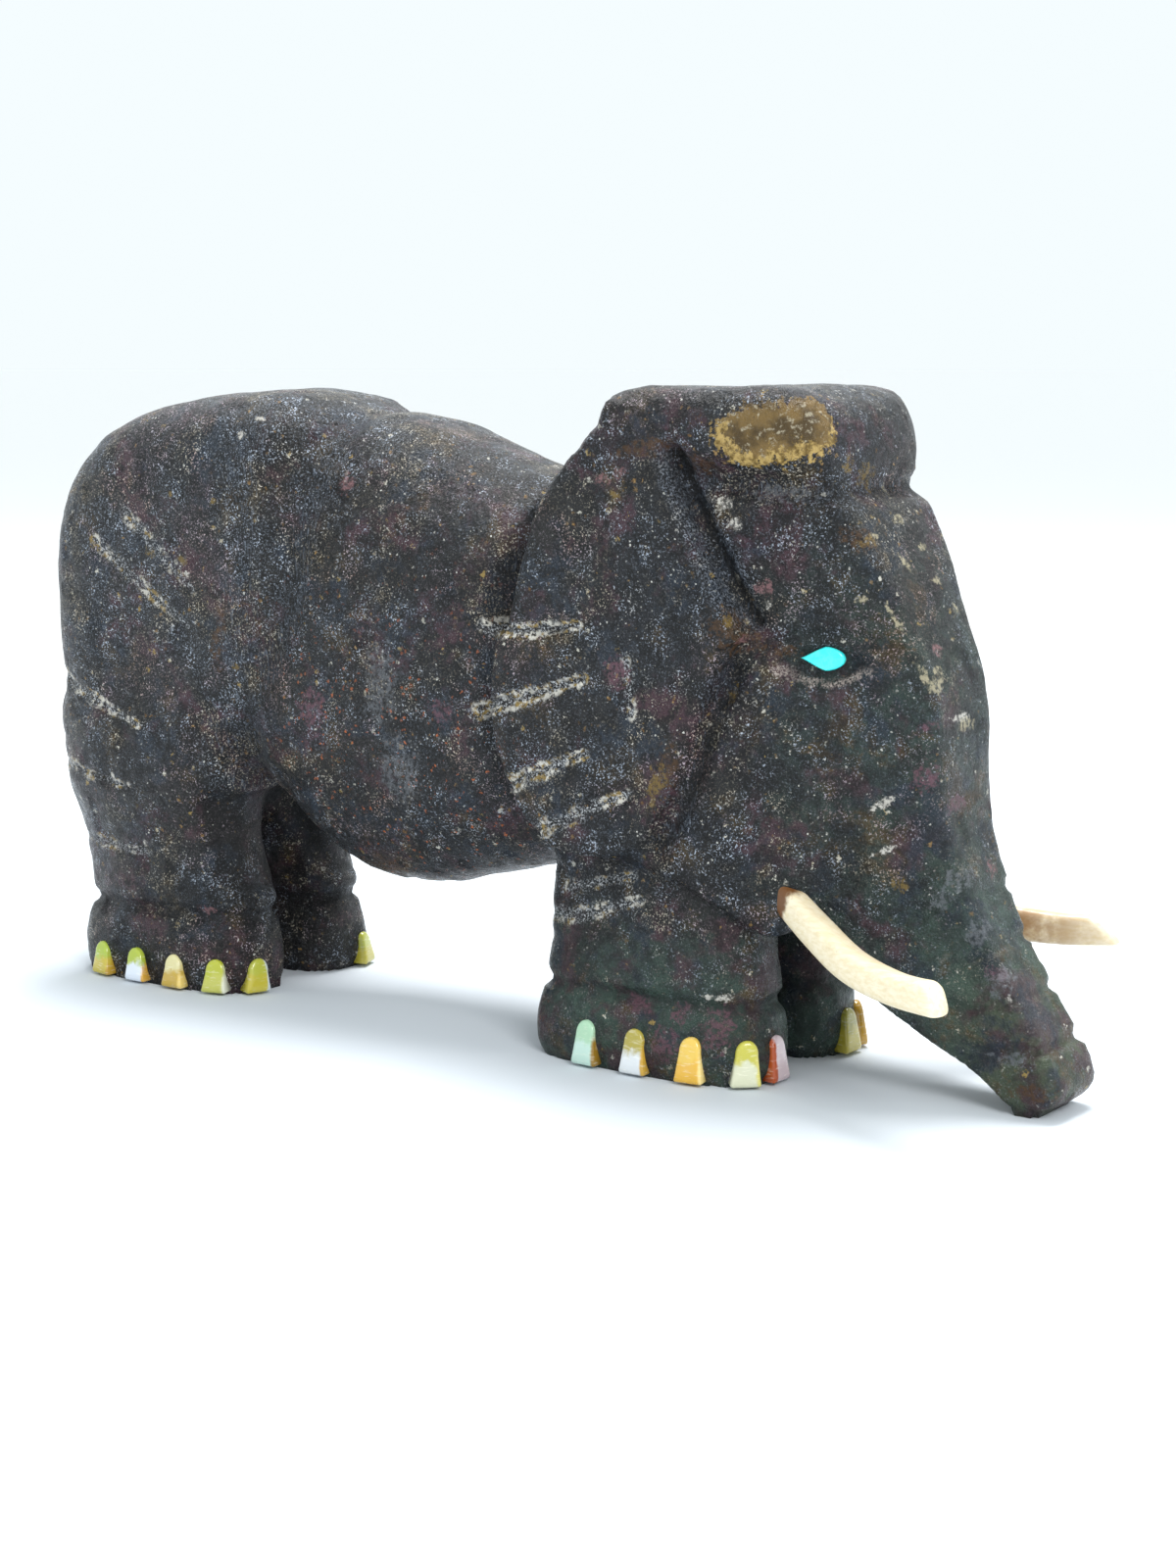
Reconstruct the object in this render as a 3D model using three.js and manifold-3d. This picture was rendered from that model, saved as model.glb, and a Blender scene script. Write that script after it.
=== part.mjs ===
// A small elephant carved from one block of dark mottled stone, standing with its head low.
// Bone tusks are set in its cheeks, turquoise in its eye sockets and slips of shell in its feet.
// Millimetres, +Z up, +X the way it faces, +Y its left; the origin is under the middle of it.
import * as THREE from 'three';
import { mergeVertices } from 'three/addons/utils/BufferGeometryUtils.js';
import { SimplifyModifier } from 'three/addons/modifiers/SimplifyModifier.js';
import Module from 'manifold-3d';

// Driving dimensions. The carving's pose and proportions are shares of its height.
const HEIGHT = 84;                  // ground to the flat top of the head
const SET_GAP = 0.3;                // room round each piece that is set in the stone

const TUSK_WIDTH = 4.2;             // across the flat bone strip, seen from the side
const TUSK_THICKNESS = 3.2;
const TUSK_SEAT = 4.5;              // length of tusk that its drilled seat hides
const TUSK_WAIST = 0.94;            // its section at the cheek and the tip, as a share of its middle

const EYE_LENGTH = 5.4;
const EYE_HEIGHT = 2.9;
const EYE_DEPTH = 1.6;              // how deep the turquoise is let into the stone
const EYE_PROUD = 0.4;              // how far it stands out of the stone

const NAIL_WIDTH = 3.8;
const FORE_NAIL_HEIGHT = 5.6;
const HIND_NAIL_HEIGHT = 4.6;
const NAIL_TOP = 0.74;              // width at the spring of its round top, as a share of its foot
const NAIL_DEPTH = 1.4;             // how deep the shell is let into the foot
const NAIL_PROUD = 0.6;             // how far it stands out of the foot
const NAIL_LIFT = 0.4;              // the shell stops short of the ground
const OPEN_ABOVE = 2;               // how far a pocket's cutter reaches out past its slip

// The stone's surface is found on a grid this fine, and then keeps this many faces
const CELL = HEIGHT / 90;
const STONE_FACES = 6000;

// Small mathematics of the carving
const clamp = (value, low, high) => Math.min(Math.max(value, low), high);

function smooth(share) {
  const held = clamp(share, 0, 1);
  return held * held * (3 - 2 * held);
}

function softMin(a, b, width) {
  const overlap = Math.max(width - Math.abs(a - b), 0) / width;
  return Math.min(a, b) - overlap * overlap * width / 4;
}

const softMax = (a, b, width) => -softMin(-a, -b, width);

// 1 on a line, falling smoothly to 0 at this distance from it
const trough = (distance, reach) => smooth(1 - Math.abs(distance) / reach);

// Stations along one axis: a row holds the place, then the values there, joined smoothly
function stations(rows) {
  const slope = (i, k) => {
    const before = rows[Math.max(i - 1, 0)];
    const after = rows[Math.min(i + 1, rows.length - 1)];
    return (after[k] - before[k]) / (after[0] - before[0]);
  };
  return (place) => {
    const at = clamp(place, rows[0][0], rows[rows.length - 1][0]);
    let i = 0;
    while (i < rows.length - 2 && at > rows[i + 1][0]) i += 1;
    const span = rows[i + 1][0] - rows[i][0];
    const t = (at - rows[i][0]) / span;
    return rows[i].slice(1).map((value, column) => {
      const k = column + 1;
      const rise = rows[i + 1][k] - value;
      const enter = slope(i, k) * span;
      const leave = slope(i + 1, k) * span;
      const bend = (enter + leave - 2 * rise) * t + (3 * rise - 2 * enter - leave);
      return value + t * (enter + t * bend);
    });
  };
}

function toSegment(x, z, [ax, az], [bx, bz]) {
  const ex = bx - ax;
  const ez = bz - az;
  const t = clamp(((x - ax) * ex + (z - az) * ez) / (ex * ex + ez * ez), 0, 1);
  return Math.hypot(x - ax - t * ex, z - az - t * ez);
}

const smoothPath = (points, closed, pieces) => new THREE.CatmullRomCurve3(
  points.map(([x, z]) => new THREE.Vector3(x, 0, z)), closed).getPoints(pieces).map((p) => [p.x, p.z]);

// A closed outline in the side view, as a distance that is negative inside
function outline(points) {
  const ring = smoothPath(points, true, points.length * 3);
  return (x, z) => {
    let nearest = Infinity;
    let inside = false;
    for (let i = 1; i < ring.length; i += 1) {
      const [ax, az] = ring[i - 1];
      const [bx, bz] = ring[i];
      nearest = Math.min(nearest, toSegment(x, z, ring[i - 1], ring[i]));
      if ((az > z) !== (bz > z) && x < ax + (z - az) / (bz - az) * (bx - ax)) inside = !inside;
    }
    return inside ? -nearest : nearest;
  };
}

// A line in the side view, as the distance from it
function line(points) {
  const path = smoothPath(points, false, (points.length - 1) * 4);
  return (x, z) => {
    let nearest = Infinity;
    for (let i = 1; i < path.length; i += 1) nearest = Math.min(nearest, toSegment(x, z, path[i - 1], path[i]));
    return nearest;
  };
}

// How far (u, v) lies outside a rounded section with these half sizes
function rounded(u, v, a, b, power) {
  const reach = (Math.abs(u / a) ** power + Math.abs(v / b) ** power) ** (1 / power);
  return Math.hypot(u, v) * (1 - 1 / Math.max(reach, 1e-6));
}

// The stone, in shares of the height: x forward from over the hind feet, z up, and side away from
// the middle plane, the same to left and right. What depends on x and z alone comes first, and
// each form then gives its distance at any side, negative inside the stone.

// Barrel: x, top, belly, half width
const barrelAt = stations([
  [-0.10, 0.940, 0.420, 0.185],
  [0.16, 0.962, 0.345, 0.192],
  [0.30, 0.974, 0.322, 0.197],
  [0.42, 0.972, 0.236, 0.198],
  [0.58, 0.954, 0.208, 0.196],
  [0.75, 0.895, 0.246, 0.188],
  [0.90, 0.862, 0.285, 0.176],
  [1.12, 0.850, 0.320, 0.170],
]);

function barrel(x, z) {
  const [top, belly, half] = barrelAt(x);
  const middle = (top + belly) / 2;
  const ends = Math.max(-0.08 - x, x - 1.15);
  return (side) => softMax(rounded(side, z - middle, half, (top - belly) / 2, 2.7), ends, 0.06);
}

// Hindquarters: a rounded block, cut back in front to the line of the thigh
const haunch = outline([
  [-0.193, 0.640], [-0.183, 0.770], [-0.146, 0.862], [-0.078, 0.928], [0.020, 0.970], [0.160, 0.994],
  [0.300, 1.004], [0.395, 0.982], [0.436, 0.910], [0.430, 0.800], [0.400, 0.690], [0.345, 0.560],
  [0.290, 0.460], [0.252, 0.380], [0.205, 0.315], [0.060, 0.260], [-0.130, 0.290], [-0.160, 0.400],
  [-0.180, 0.520],
]);

function hindquarters(x, z) {
  const profile = haunch(x, z);
  return (side) => softMax(profile, side - 0.206, 0.15);
}

// Tail: a low ridge down the back of the hindquarters
const tailRear = stations([[0.30, -0.152], [0.42, -0.169], [0.64, -0.193], [0.78, -0.181], [0.88, -0.133]]);

function tail(x, z) {
  const [rear] = tailRear(z);
  const ends = Math.max(0.34 - z, z - 0.84);
  const half = 0.015 + 0.010 * trough(z - 0.38, 0.06);
  return (side) => softMax(rounded(x - rear, side, 0.017, half, 2), ends, 0.04);
}

// Legs: height, rear, front, inner side, outer side
const hindLegAt = stations([
  [0.125, -0.122, 0.268, 0.016, 0.189],
  [0.200, -0.134, 0.262, 0.016, 0.190],
  [0.300, -0.146, 0.250, 0.012, 0.194],
  [0.400, -0.158, 0.240, 0.000, 0.196],
]);
const foreLegAt = stations([
  [0.115, 0.866, 1.262, 0.016, 0.187],
  [0.200, 0.874, 1.250, 0.016, 0.179],
  [0.300, 0.872, 1.240, 0.012, 0.168],
  [0.420, 0.860, 1.230, 0.000, 0.160],
]);

function leg(x, z, legAt, power) {
  const [rear, front, inner, outer] = legAt(z);
  const ends = Math.max(z - 0.44, 0.06 - z);
  const half = (front - rear) / 2;
  return (side) => softMax(
    rounded(x - (rear + front) / 2, side - (inner + outer) / 2, half, (outer - inner) / 2, power), ends, 0.03);
}

// Feet: each bulges out below its ankle groove. Its plan is a rounded oblong.
const FOOT_SIDE = 0.104;
const FOOT_HALF_WIDTH = 0.092;
const FOOT_POWER = 3;
const FEET = {
  hind: { middle: 0.069, half: 0.203, ankle: 0.130 },
  fore: { middle: 1.060, half: 0.208, ankle: 0.116 },
};

function foot(x, z, { middle, half, ankle }) {
  const draw = 0.014 * (1 - Math.sin(Math.PI * (0.24 + 0.76 * clamp(z / ankle, 0, 1))));
  const ends = Math.max(z - ankle + 0.002, -0.008 - z);
  return (side) => softMax(
    rounded(x - middle, side - FOOT_SIDE, half - draw, FOOT_HALF_WIDTH - draw, FOOT_POWER), ends, 0.034);
}

// Head and trunk: one profile, whose sides draw together towards the front
const headProfile = outline([
  [0.940, 0.900], [0.990, 0.965], [1.080, 0.990], [1.220, 0.992], [1.315, 0.975], [1.350, 0.925],
  [1.368, 0.880], [1.395, 0.835], [1.446, 0.738], [1.472, 0.670], [1.500, 0.600], [1.513, 0.504],
  [1.515, 0.440], [1.526, 0.378], [1.547, 0.330], [1.595, 0.229], [1.655, 0.138], [1.694, 0.072],
  [1.700, 0.036], [1.674, 0.008], [1.622, 0.004], [1.585, 0.030], [1.540, 0.066], [1.484, 0.100],
  [1.425, 0.145], [1.375, 0.205], [1.325, 0.262], [1.270, 0.300], [1.100, 0.340], [0.930, 0.400],
  [0.900, 0.620], [0.905, 0.800],
]);

const FACE_TAPER = 0.29;            // how far each side of the face draws in, per length forward
const faceHalfWidth = (x) => 0.186 - FACE_TAPER * softMax(x - 1.17, 0, 0.06);

function headAndTrunk(x, z) {
  const profile = headProfile(x, z);
  const half = Math.max(faceHalfWidth(x), 0.072);
  return (side) => softMax(profile, side - half, 0.026);
}

// Cheek: its lower edge drops to a corner behind the tusk
const cheekOutline = outline([
  [0.930, 0.345], [0.990, 0.318], [1.063, 0.309], [1.150, 0.289], [1.210, 0.255], [1.255, 0.228],
  [1.290, 0.226], [1.318, 0.250], [1.336, 0.300], [1.350, 0.400], [1.330, 0.520], [1.180, 0.580],
  [1.000, 0.520],
]);

function cheek(x, z) {
  const profile = cheekOutline(x, z);
  const half = faceHalfWidth(x) + 0.007;
  return (side) => softMax(profile, side - half, 0.024);
}

// Cap: a thick rounded ridge over the brow, flat on top and round in front
const capOutline = outline([
  [0.975, 0.955], [1.030, 1.004], [1.180, 1.012], [1.300, 1.009], [1.352, 0.978], [1.378, 0.925],
  [1.366, 0.892], [1.290, 0.886], [1.190, 0.892], [1.110, 0.900], [1.020, 0.880],
]);

function cap(x, z) {
  const profile = capOutline(x, z);
  return (side) => softMax(profile, rounded(Math.max(x - 1.12, 0), side, 0.262, 0.206, 3), 0.05);
}

// Ear: a large flat plate, proudest along its rear edge and one with the cap above
const earOutline = outline([
  [1.130, 0.925], [1.100, 0.975], [1.030, 0.990], [0.975, 0.960], [0.925, 0.905], [0.885, 0.840],
  [0.858, 0.765], [0.826, 0.660], [0.812, 0.563], [0.822, 0.475], [0.850, 0.403], [0.888, 0.352],
  [0.950, 0.322], [1.040, 0.318], [1.105, 0.350], [1.152, 0.430], [1.180, 0.489], [1.212, 0.560],
  [1.240, 0.625], [1.250, 0.672], [1.228, 0.716], [1.197, 0.783], [1.166, 0.864],
]);

function ear(x, z) {
  const profile = earOutline(x, z);
  const face = 0.214 - 0.045 * clamp(x - 0.95, 0, 0.3);
  return (side) => softMax(profile, side - face, 0.015);
}

// Lines cut in the stone's sides: half width, depth and course of each
const CUTS = [
  // behind the ear, deep above and shallow below
  [0.046, 0.034, [[0.985, 0.975], [0.930, 0.920], [0.880, 0.850], [0.848, 0.765], [0.818, 0.670]]],
  [0.024, 0.009, [[0.818, 0.670], [0.800, 0.563], [0.812, 0.465], [0.842, 0.390], [0.880, 0.340]]],
  // before the ear
  [0.022, 0.020, [[1.136, 0.915], [1.166, 0.845], [1.202, 0.775], [1.234, 0.715], [1.256, 0.680]]],
  [0.022, 0.016, [[1.226, 0.612], [1.198, 0.532], [1.176, 0.459], [1.150, 0.400], [1.116, 0.347]]],
  // under the cap
  [0.024, 0.014, [[1.175, 0.880], [1.215, 0.873], [1.290, 0.867], [1.350, 0.866], [1.420, 0.866]]],
  // before the thigh
  [0.050, 0.014, [
    [0.455, 0.940], [0.436, 0.820], [0.410, 0.690], [0.352, 0.555], [0.300, 0.455], [0.262, 0.370],
  ]],
  // across the ear's rear edge, and one upright on the ear
  [0.013, 0.009, [[0.790, 0.648], [0.880, 0.650], [0.985, 0.664]]],
  [0.013, 0.009, [[0.780, 0.522], [0.900, 0.556], [0.994, 0.586]]],
  [0.012, 0.007, [[0.830, 0.408], [0.920, 0.444], [0.994, 0.476]]],
  [0.012, 0.008, [[0.885, 0.344], [0.980, 0.384], [1.070, 0.423]]],
  [0.010, 0.005, [[1.067, 0.615], [1.075, 0.538]]],
  // creases down the hind leg and the foreleg
  [0.011, 0.006, [[-0.240, 0.535], [-0.127, 0.512], [0.078, 0.447]]],
  [0.010, 0.006, [[-0.240, 0.372], [-0.102, 0.362], [0.039, 0.341]]],
  [0.010, 0.006, [[-0.220, 0.238], [-0.083, 0.236], [0.070, 0.227]]],
  [0.010, 0.004, [[0.930, 0.260], [1.053, 0.294]]],
  [0.010, 0.004, [[0.880, 0.215], [0.963, 0.225], [1.070, 0.260]]],
  [0.010, 0.004, [[0.840, 0.172], [0.908, 0.180], [1.017, 0.201]]],
  // creases across the trunk
  [0.011, 0.006, [[1.480, 0.268], [1.560, 0.310], [1.640, 0.345]]],
  [0.011, 0.006, [[1.520, 0.205], [1.600, 0.240], [1.680, 0.270]]],
  [0.011, 0.007, [[1.540, 0.142], [1.630, 0.165], [1.720, 0.190]]],
  [0.012, 0.008, [[1.560, 0.075], [1.640, 0.095], [1.760, 0.120]]],
].map(([reach, depth, points]) => ({ reach, depth, away: line(points) }));

const cutDepth = (x, z) => CUTS.reduce(
  (deepest, { reach, depth, away }) => Math.max(deepest, depth * trough(away(x, z), reach)), 0);

// The stone is hollowed at the front of the thigh, below the belly
const HOLLOW_DEPTH = 0.020;
const HOLLOW_EDGE = 0.026;          // the width over which it deepens
const hollowOutline = outline([
  [0.172, 0.318], [0.205, 0.342], [0.260, 0.346], [0.330, 0.330], [0.350, 0.240], [0.330, 0.165],
  [0.245, 0.160], [0.205, 0.205],
]);
const hollowDepth = (x, z) => HOLLOW_DEPTH * smooth(-hollowOutline(x, z) / HOLLOW_EDGE);

// Ankle grooves ring the legs
function ankleDepth(x, z) {
  const { ankle, middle, half } = x < (FEET.hind.middle + FEET.fore.middle) / 2 ? FEET.hind : FEET.fore;
  return Math.abs(x - middle) < half + 0.03 ? 0.013 * trough(z - ankle, 0.016) : 0;
}

// Eye socket: an almond hollow under a brow line
const EYE_AT = { x: 1.348, z: 0.631 };
const SOCKET_DEPTH = 0.011;
const SOCKET_EDGE = 0.020;
const BROW_DEPTH = 0.008;
const browLine = line([[1.225, 0.634], [1.294, 0.656], [1.390, 0.662], [1.450, 0.650]]);

function socketDepth(x, z) {
  const almond = rounded(x - EYE_AT.x, z - EYE_AT.z + 0.006, 0.068, 0.034, 1.6);
  return Math.max(SOCKET_DEPTH * smooth(-almond / SOCKET_EDGE), BROW_DEPTH * trough(browLine(x, z), 0.014));
}

function stoneAt(x, z) {
  const forms = {
    barrel: barrel(x, z),
    haunch: hindquarters(x, z),
    tail: tail(x, z),
    hindLeg: leg(x, z, hindLegAt, 2.5),
    foreLeg: leg(x, z, foreLegAt, 3.2),
    hindFoot: foot(x, z, FEET.hind),
    foreFoot: foot(x, z, FEET.fore),
    head: headAndTrunk(x, z),
    cheek: cheek(x, z),
    cap: cap(x, z),
    ear: ear(x, z),
  };
  const cut = Math.max(cutDepth(x, z), hollowDepth(x, z), ankleDepth(x, z), socketDepth(x, z));
  return (y) => {
    const side = Math.abs(y);
    const at = (name) => forms[name](side);
    let hind = softMin(at('haunch'), at('hindLeg'), 0.07);
    hind = softMin(hind, at('tail'), 0.012);
    let body = softMin(at('barrel'), hind, 0.03);
    body = softMin(body, at('foreLeg'), 0.03);
    body = softMin(body, Math.min(at('hindFoot'), at('foreFoot')), 0.012);
    let head = softMin(at('head'), at('cheek'), 0.02);
    head = softMin(head, at('cap'), 0.016);
    head = softMin(head, at('ear'), 0.010);
    return softMin(body, head, 0.012) + cut;
  };
}

// The surface where a form's distance is zero: a vertex in each grid cell that it crosses
function surfaceOf(formAt, low, high, cell) {
  const [nx, ny, nz] = low.map((value, n) => Math.ceil((high[n] - value) / cell) + 1);
  const strides = [ny * nz, nz, 1];
  const values = new Float32Array(nx * ny * nz);
  for (let i = 0; i < nx; i += 1) {
    for (let k = 0; k < nz; k += 1) {
      const across = formAt(low[0] + i * cell, low[2] + k * cell);
      for (let j = 0; j < ny; j += 1) values[i * strides[0] + j * nz + k] = across(low[1] + j * cell);
    }
  }
  const corners = Array.from({ length: 8 }, (_, c) => [c & 1, (c >> 1) & 1, (c >> 2) & 1]);
  const offsets = corners.map((corner) => corner.reduce((sum, bit, n) => sum + bit * strides[n], 0));
  const edges = corners.flatMap((_, a) => [1, 2, 4].filter((bit) => !(a & bit)).map((bit) => [a, a | bit]));
  const vertexIn = new Int32Array(values.length).fill(-1);
  const positions = [];
  const forEachCell = (visit) => {
    for (let i = 1; i < nx - 1; i += 1) {
      for (let j = 1; j < ny - 1; j += 1) {
        for (let k = 1; k < nz - 1; k += 1) visit(i * strides[0] + j * nz + k, [i, j, k]);
      }
    }
  };
  forEachCell((index, place) => {
    const inside = offsets.map((offset) => values[index + offset] < 0);
    if (inside.every((state) => state === inside[0])) return;
    const crossings = edges.filter(([a, b]) => inside[a] !== inside[b]).map(([a, b]) => {
      const from = values[index + offsets[a]];
      const t = from / (from - values[index + offsets[b]]);
      return corners[a].map((value, n) => value + t * (corners[b][n] - value));
    });
    vertexIn[index] = positions.length / 3;
    place.forEach((value, n) => {
      const mean = crossings.reduce((sum, crossing) => sum + crossing[n], 0) / crossings.length;
      positions.push(low[n] + (value + mean) * cell);
    });
  });
  const triangles = [];
  forEachCell((index) => {
    strides.forEach((ahead, n) => {
      const here = values[index] < 0;
      if (here === values[index + ahead] < 0) return;
      const u = strides[(n + 1) % 3];
      const v = strides[(n + 2) % 3];
      const ring = [0, u, u + v, v].map((back) => vertexIn[index - back]);
      if (!here) ring.reverse();
      triangles.push(ring[0], ring[1], ring[2], ring[0], ring[2], ring[3]);
    });
  });
  const geometry = new THREE.BufferGeometry();
  geometry.setAttribute('position', new THREE.Float32BufferAttribute(positions, 3));
  geometry.setIndex(triangles);
  return geometry;
}

// Solids for joining and cutting
const wasm = await Module();
wasm.setup();

function solidOf(geometry) {
  const bare = new THREE.BufferGeometry();
  bare.setAttribute('position', geometry.getAttribute('position'));
  if (geometry.getIndex()) bare.setIndex(geometry.getIndex());
  const merged = mergeVertices(bare, 1e-4);
  return new wasm.Manifold(new wasm.Mesh({
    numProp: 3,
    vertProperties: new Float32Array(merged.getAttribute('position').array),
    triVerts: new Uint32Array(merged.getIndex().array),
  }));
}

function geometryOf(solid) {
  const mesh = solid.getMesh();
  const geometry = new THREE.BufferGeometry();
  geometry.setAttribute('position', new THREE.Float32BufferAttribute(mesh.vertProperties, 3));
  geometry.setIndex(new THREE.Uint32BufferAttribute(mesh.triVerts, 1));
  geometry.computeVertexNormals();
  return geometry;
}

// A slip let into the stone: its outline stands in a plane whose normal points out of the stone
function slip(shape, depth, proud, frame) {
  const geometry = new THREE.ExtrudeGeometry(shape, { depth: depth + proud, bevelEnabled: false, curveSegments: 3 });
  geometry.translate(0, 0, -depth);
  return geometry.applyMatrix4(frame);
}

// A frame whose first axis lies along the stone, second points up and third out of the stone
function frameAt(place, outward) {
  const up = new THREE.Vector3(0, 0, 1);
  const along = new THREE.Vector3().crossVectors(up, outward);
  return new THREE.Matrix4().makeBasis(along, up, outward).setPosition(place);
}

// Nails: slips of shell round the outside and front of every foot
const NAILS = {                     // their places round the foot from the middle of its front, in shares
  hind: { height: HIND_NAIL_HEIGHT, spots: [0.036, 0.107, 0.190, 0.275, 0.364] },
  fore: { height: FORE_NAIL_HEIGHT, spots: [0.000, 0.062, 0.145, 0.240, 0.330] },
};

// A nail narrows upwards to a round top; its pocket has room round it and is open below
function nailShape(height, room, foot) {
  const half = NAIL_WIDTH / 2 + room;
  const narrow = half * NAIL_TOP;
  const spring = height - NAIL_WIDTH / 2;
  const shape = new THREE.Shape();
  shape.moveTo(-half, foot);
  shape.lineTo(half, foot);
  shape.lineTo(narrow, spring);
  shape.absellipse(0, spring, narrow, height - spring + room, 0, Math.PI, false, 0);
  shape.closePath();
  return shape;
}

// The place and outward direction on a foot's outline at this distance round from its front
function roundFoot({ middle, half }, distance, left) {
  const steps = 400;
  let walked = 0;
  let before = null;
  for (let i = 0; i <= steps; i += 1) {
    const turn = Math.PI * i / steps;
    const cos = Math.cos(turn);
    const sin = Math.sin(turn);
    const x = half * Math.sign(cos) * Math.abs(cos) ** (2 / FOOT_POWER);
    const side = FOOT_HALF_WIDTH * sin ** (2 / FOOT_POWER);
    if (before) walked += Math.hypot(x - before[0], side - before[1]);
    if (walked >= distance) {
      const outX = Math.sign(cos) * Math.abs(cos) ** (2 - 2 / FOOT_POWER) / half;
      const outSide = sin ** (2 - 2 / FOOT_POWER) / FOOT_HALF_WIDTH;
      return {
        place: new THREE.Vector3((middle + x) * HEIGHT, left * (FOOT_SIDE + side) * HEIGHT, NAIL_LIFT),
        outward: new THREE.Vector3(outX, left * outSide, 0).normalize(),
      };
    }
    before = [x, side];
  }
  return null;
}

const SIDES = { right: -1, left: 1 };
const nails = [];
for (const [pair, { height, spots }] of Object.entries(NAILS)) {
  for (const [hand, left] of Object.entries(SIDES)) {
    spots.forEach((spot, i) => {
      const { place, outward } = roundFoot(FEET[pair], spot, left);
      const frame = frameAt(place, outward);
      nails.push({
        name: `nail_${pair}_${hand}_${i + 1}`,
        piece: slip(nailShape(height, 0, 0), NAIL_DEPTH, NAIL_PROUD, frame),
        pocket: slip(
          nailShape(height, SET_GAP, -NAIL_LIFT - OPEN_ABOVE), NAIL_DEPTH + SET_GAP, NAIL_PROUD + OPEN_ABOVE, frame),
      });
    });
  }
}

// Eyes: turquoise teardrops, blunt in front. Forward is 1 or -1, the way along x that faces ahead.
function eyeShape(room, forward) {
  const point = EYE_LENGTH / 2 + room * 1.5;
  const blunt = EYE_LENGTH / 2 + room;
  const half = EYE_HEIGHT / 2 + room;
  const shape = new THREE.Shape();
  shape.moveTo(-forward * point, 0);
  shape.quadraticCurveTo(-forward * blunt * 0.2, -half * 1.25, forward * blunt * 0.5, -half * 0.9);
  shape.quadraticCurveTo(forward * blunt * 1.05, -half * 0.6, forward * blunt, half * 0.2);
  shape.quadraticCurveTo(forward * blunt * 0.7, half * 1.1, 0, half);
  shape.quadraticCurveTo(-forward * blunt * 0.5, half * 0.8, -forward * point, 0);
  return shape;
}

const eyes = Object.entries(SIDES).map(([hand, left]) => {
  const side = faceHalfWidth(EYE_AT.x) - SOCKET_DEPTH;
  const outward = new THREE.Vector3(FACE_TAPER, left, 0).normalize();
  const frame = frameAt(new THREE.Vector3(EYE_AT.x, left * side, EYE_AT.z).multiplyScalar(HEIGHT), outward);
  return {
    name: `eye_${hand}`,
    piece: slip(eyeShape(0, -left), EYE_DEPTH, EYE_PROUD, frame),
    pocket: slip(eyeShape(SET_GAP, -left), EYE_DEPTH + SET_GAP, EYE_PROUD + OPEN_ABOVE, frame),
  };
});

// Tusks: strips of bone that leave the cheeks forward and outward, and flatten towards the tip
const TUSK_COURSE = [
  [1.318, 0.146, 0.278], [1.375, 0.172, 0.250], [1.450, 0.206, 0.219], [1.540, 0.244, 0.206],
  [1.632, 0.280, 0.208],
];

// A rounded oblong rod along a curve; its half sizes come from how far along it is
function rod(curve, rings, halfSizes) {
  const geometry = new THREE.CylinderGeometry(1, 1, 1, 12, rings);
  const position = geometry.getAttribute('position');
  const square = (value) => Math.sign(value) * Math.abs(value) ** 0.6;
  for (let i = 0; i < position.count; i += 1) {
    const along = clamp(position.getY(i) + 0.5, 0, 1);
    const tangent = curve.getTangentAt(along);
    const across = new THREE.Vector3().crossVectors(new THREE.Vector3(0, 0, 1), tangent).normalize();
    const down = new THREE.Vector3().crossVectors(across, tangent);
    const [halfAcross, halfDown] = halfSizes(along);
    const point = curve.getPointAt(along)
      .addScaledVector(across, halfAcross * square(position.getX(i)))
      .addScaledVector(down, halfDown * square(position.getZ(i)));
    position.setXYZ(i, point.x, point.y, point.z);
  }
  return geometry;
}

const tusks = Object.entries(SIDES).map(([hand, left]) => {
  const course = TUSK_COURSE.map(
    ([x, side, z]) => new THREE.Vector3(x, left * side, z).multiplyScalar(HEIGHT));
  const inward = course[0].clone().sub(course[1]).normalize();
  const seatEnd = course[0].clone().addScaledVector(inward, TUSK_SEAT);
  const seatFloor = course[0].clone().addScaledVector(inward, TUSK_SEAT + SET_GAP);
  const waist = (along) => TUSK_WAIST + (1 - TUSK_WAIST) * Math.sin(Math.PI * Math.min(along * 1.25, 1));
  return {
    name: `tusk_${hand}`,
    piece: rod(new THREE.CatmullRomCurve3([seatEnd, ...course]), 14,
      (along) => [TUSK_THICKNESS / 2 * waist(along), TUSK_WIDTH / 2 * waist(along)]),
    pocket: rod(new THREE.CatmullRomCurve3([seatFloor, ...course.slice(0, 3)]), 6,
      () => [TUSK_THICKNESS / 2 + SET_GAP, TUSK_WIDTH / 2 + SET_GAP]),
  };
});

// The stone itself, cut flat under the feet and let in for the pieces set in it
const grid = surfaceOf(stoneAt, [-0.26, -0.25, -0.05], [1.76, 0.25, 1.06], CELL / HEIGHT);
const count = grid.getAttribute('position').count;
const faceted = await new SimplifyModifier().modify(grid, count - STONE_FACES / 2);
faceted.scale(HEIGHT, HEIGHT, HEIGHT);

const underground = new THREE.BoxGeometry(4 * HEIGHT, 2 * HEIGHT, HEIGHT).translate(HEIGHT, 0, -HEIGHT / 2);
let stone = solidOf(faceted).subtract(solidOf(underground));
for (const { pocket } of [...nails, ...eyes, ...tusks]) stone = stone.subtract(solidOf(pocket));

const finish = (color, roughness) => new THREE.MeshStandardMaterial({ color, roughness, metalness: 0 });
const carving = new THREE.Group();

function place(name, geometry, material) {
  const mesh = new THREE.Mesh(geometry, material);
  mesh.name = name;
  carving.add(mesh);
}

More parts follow.
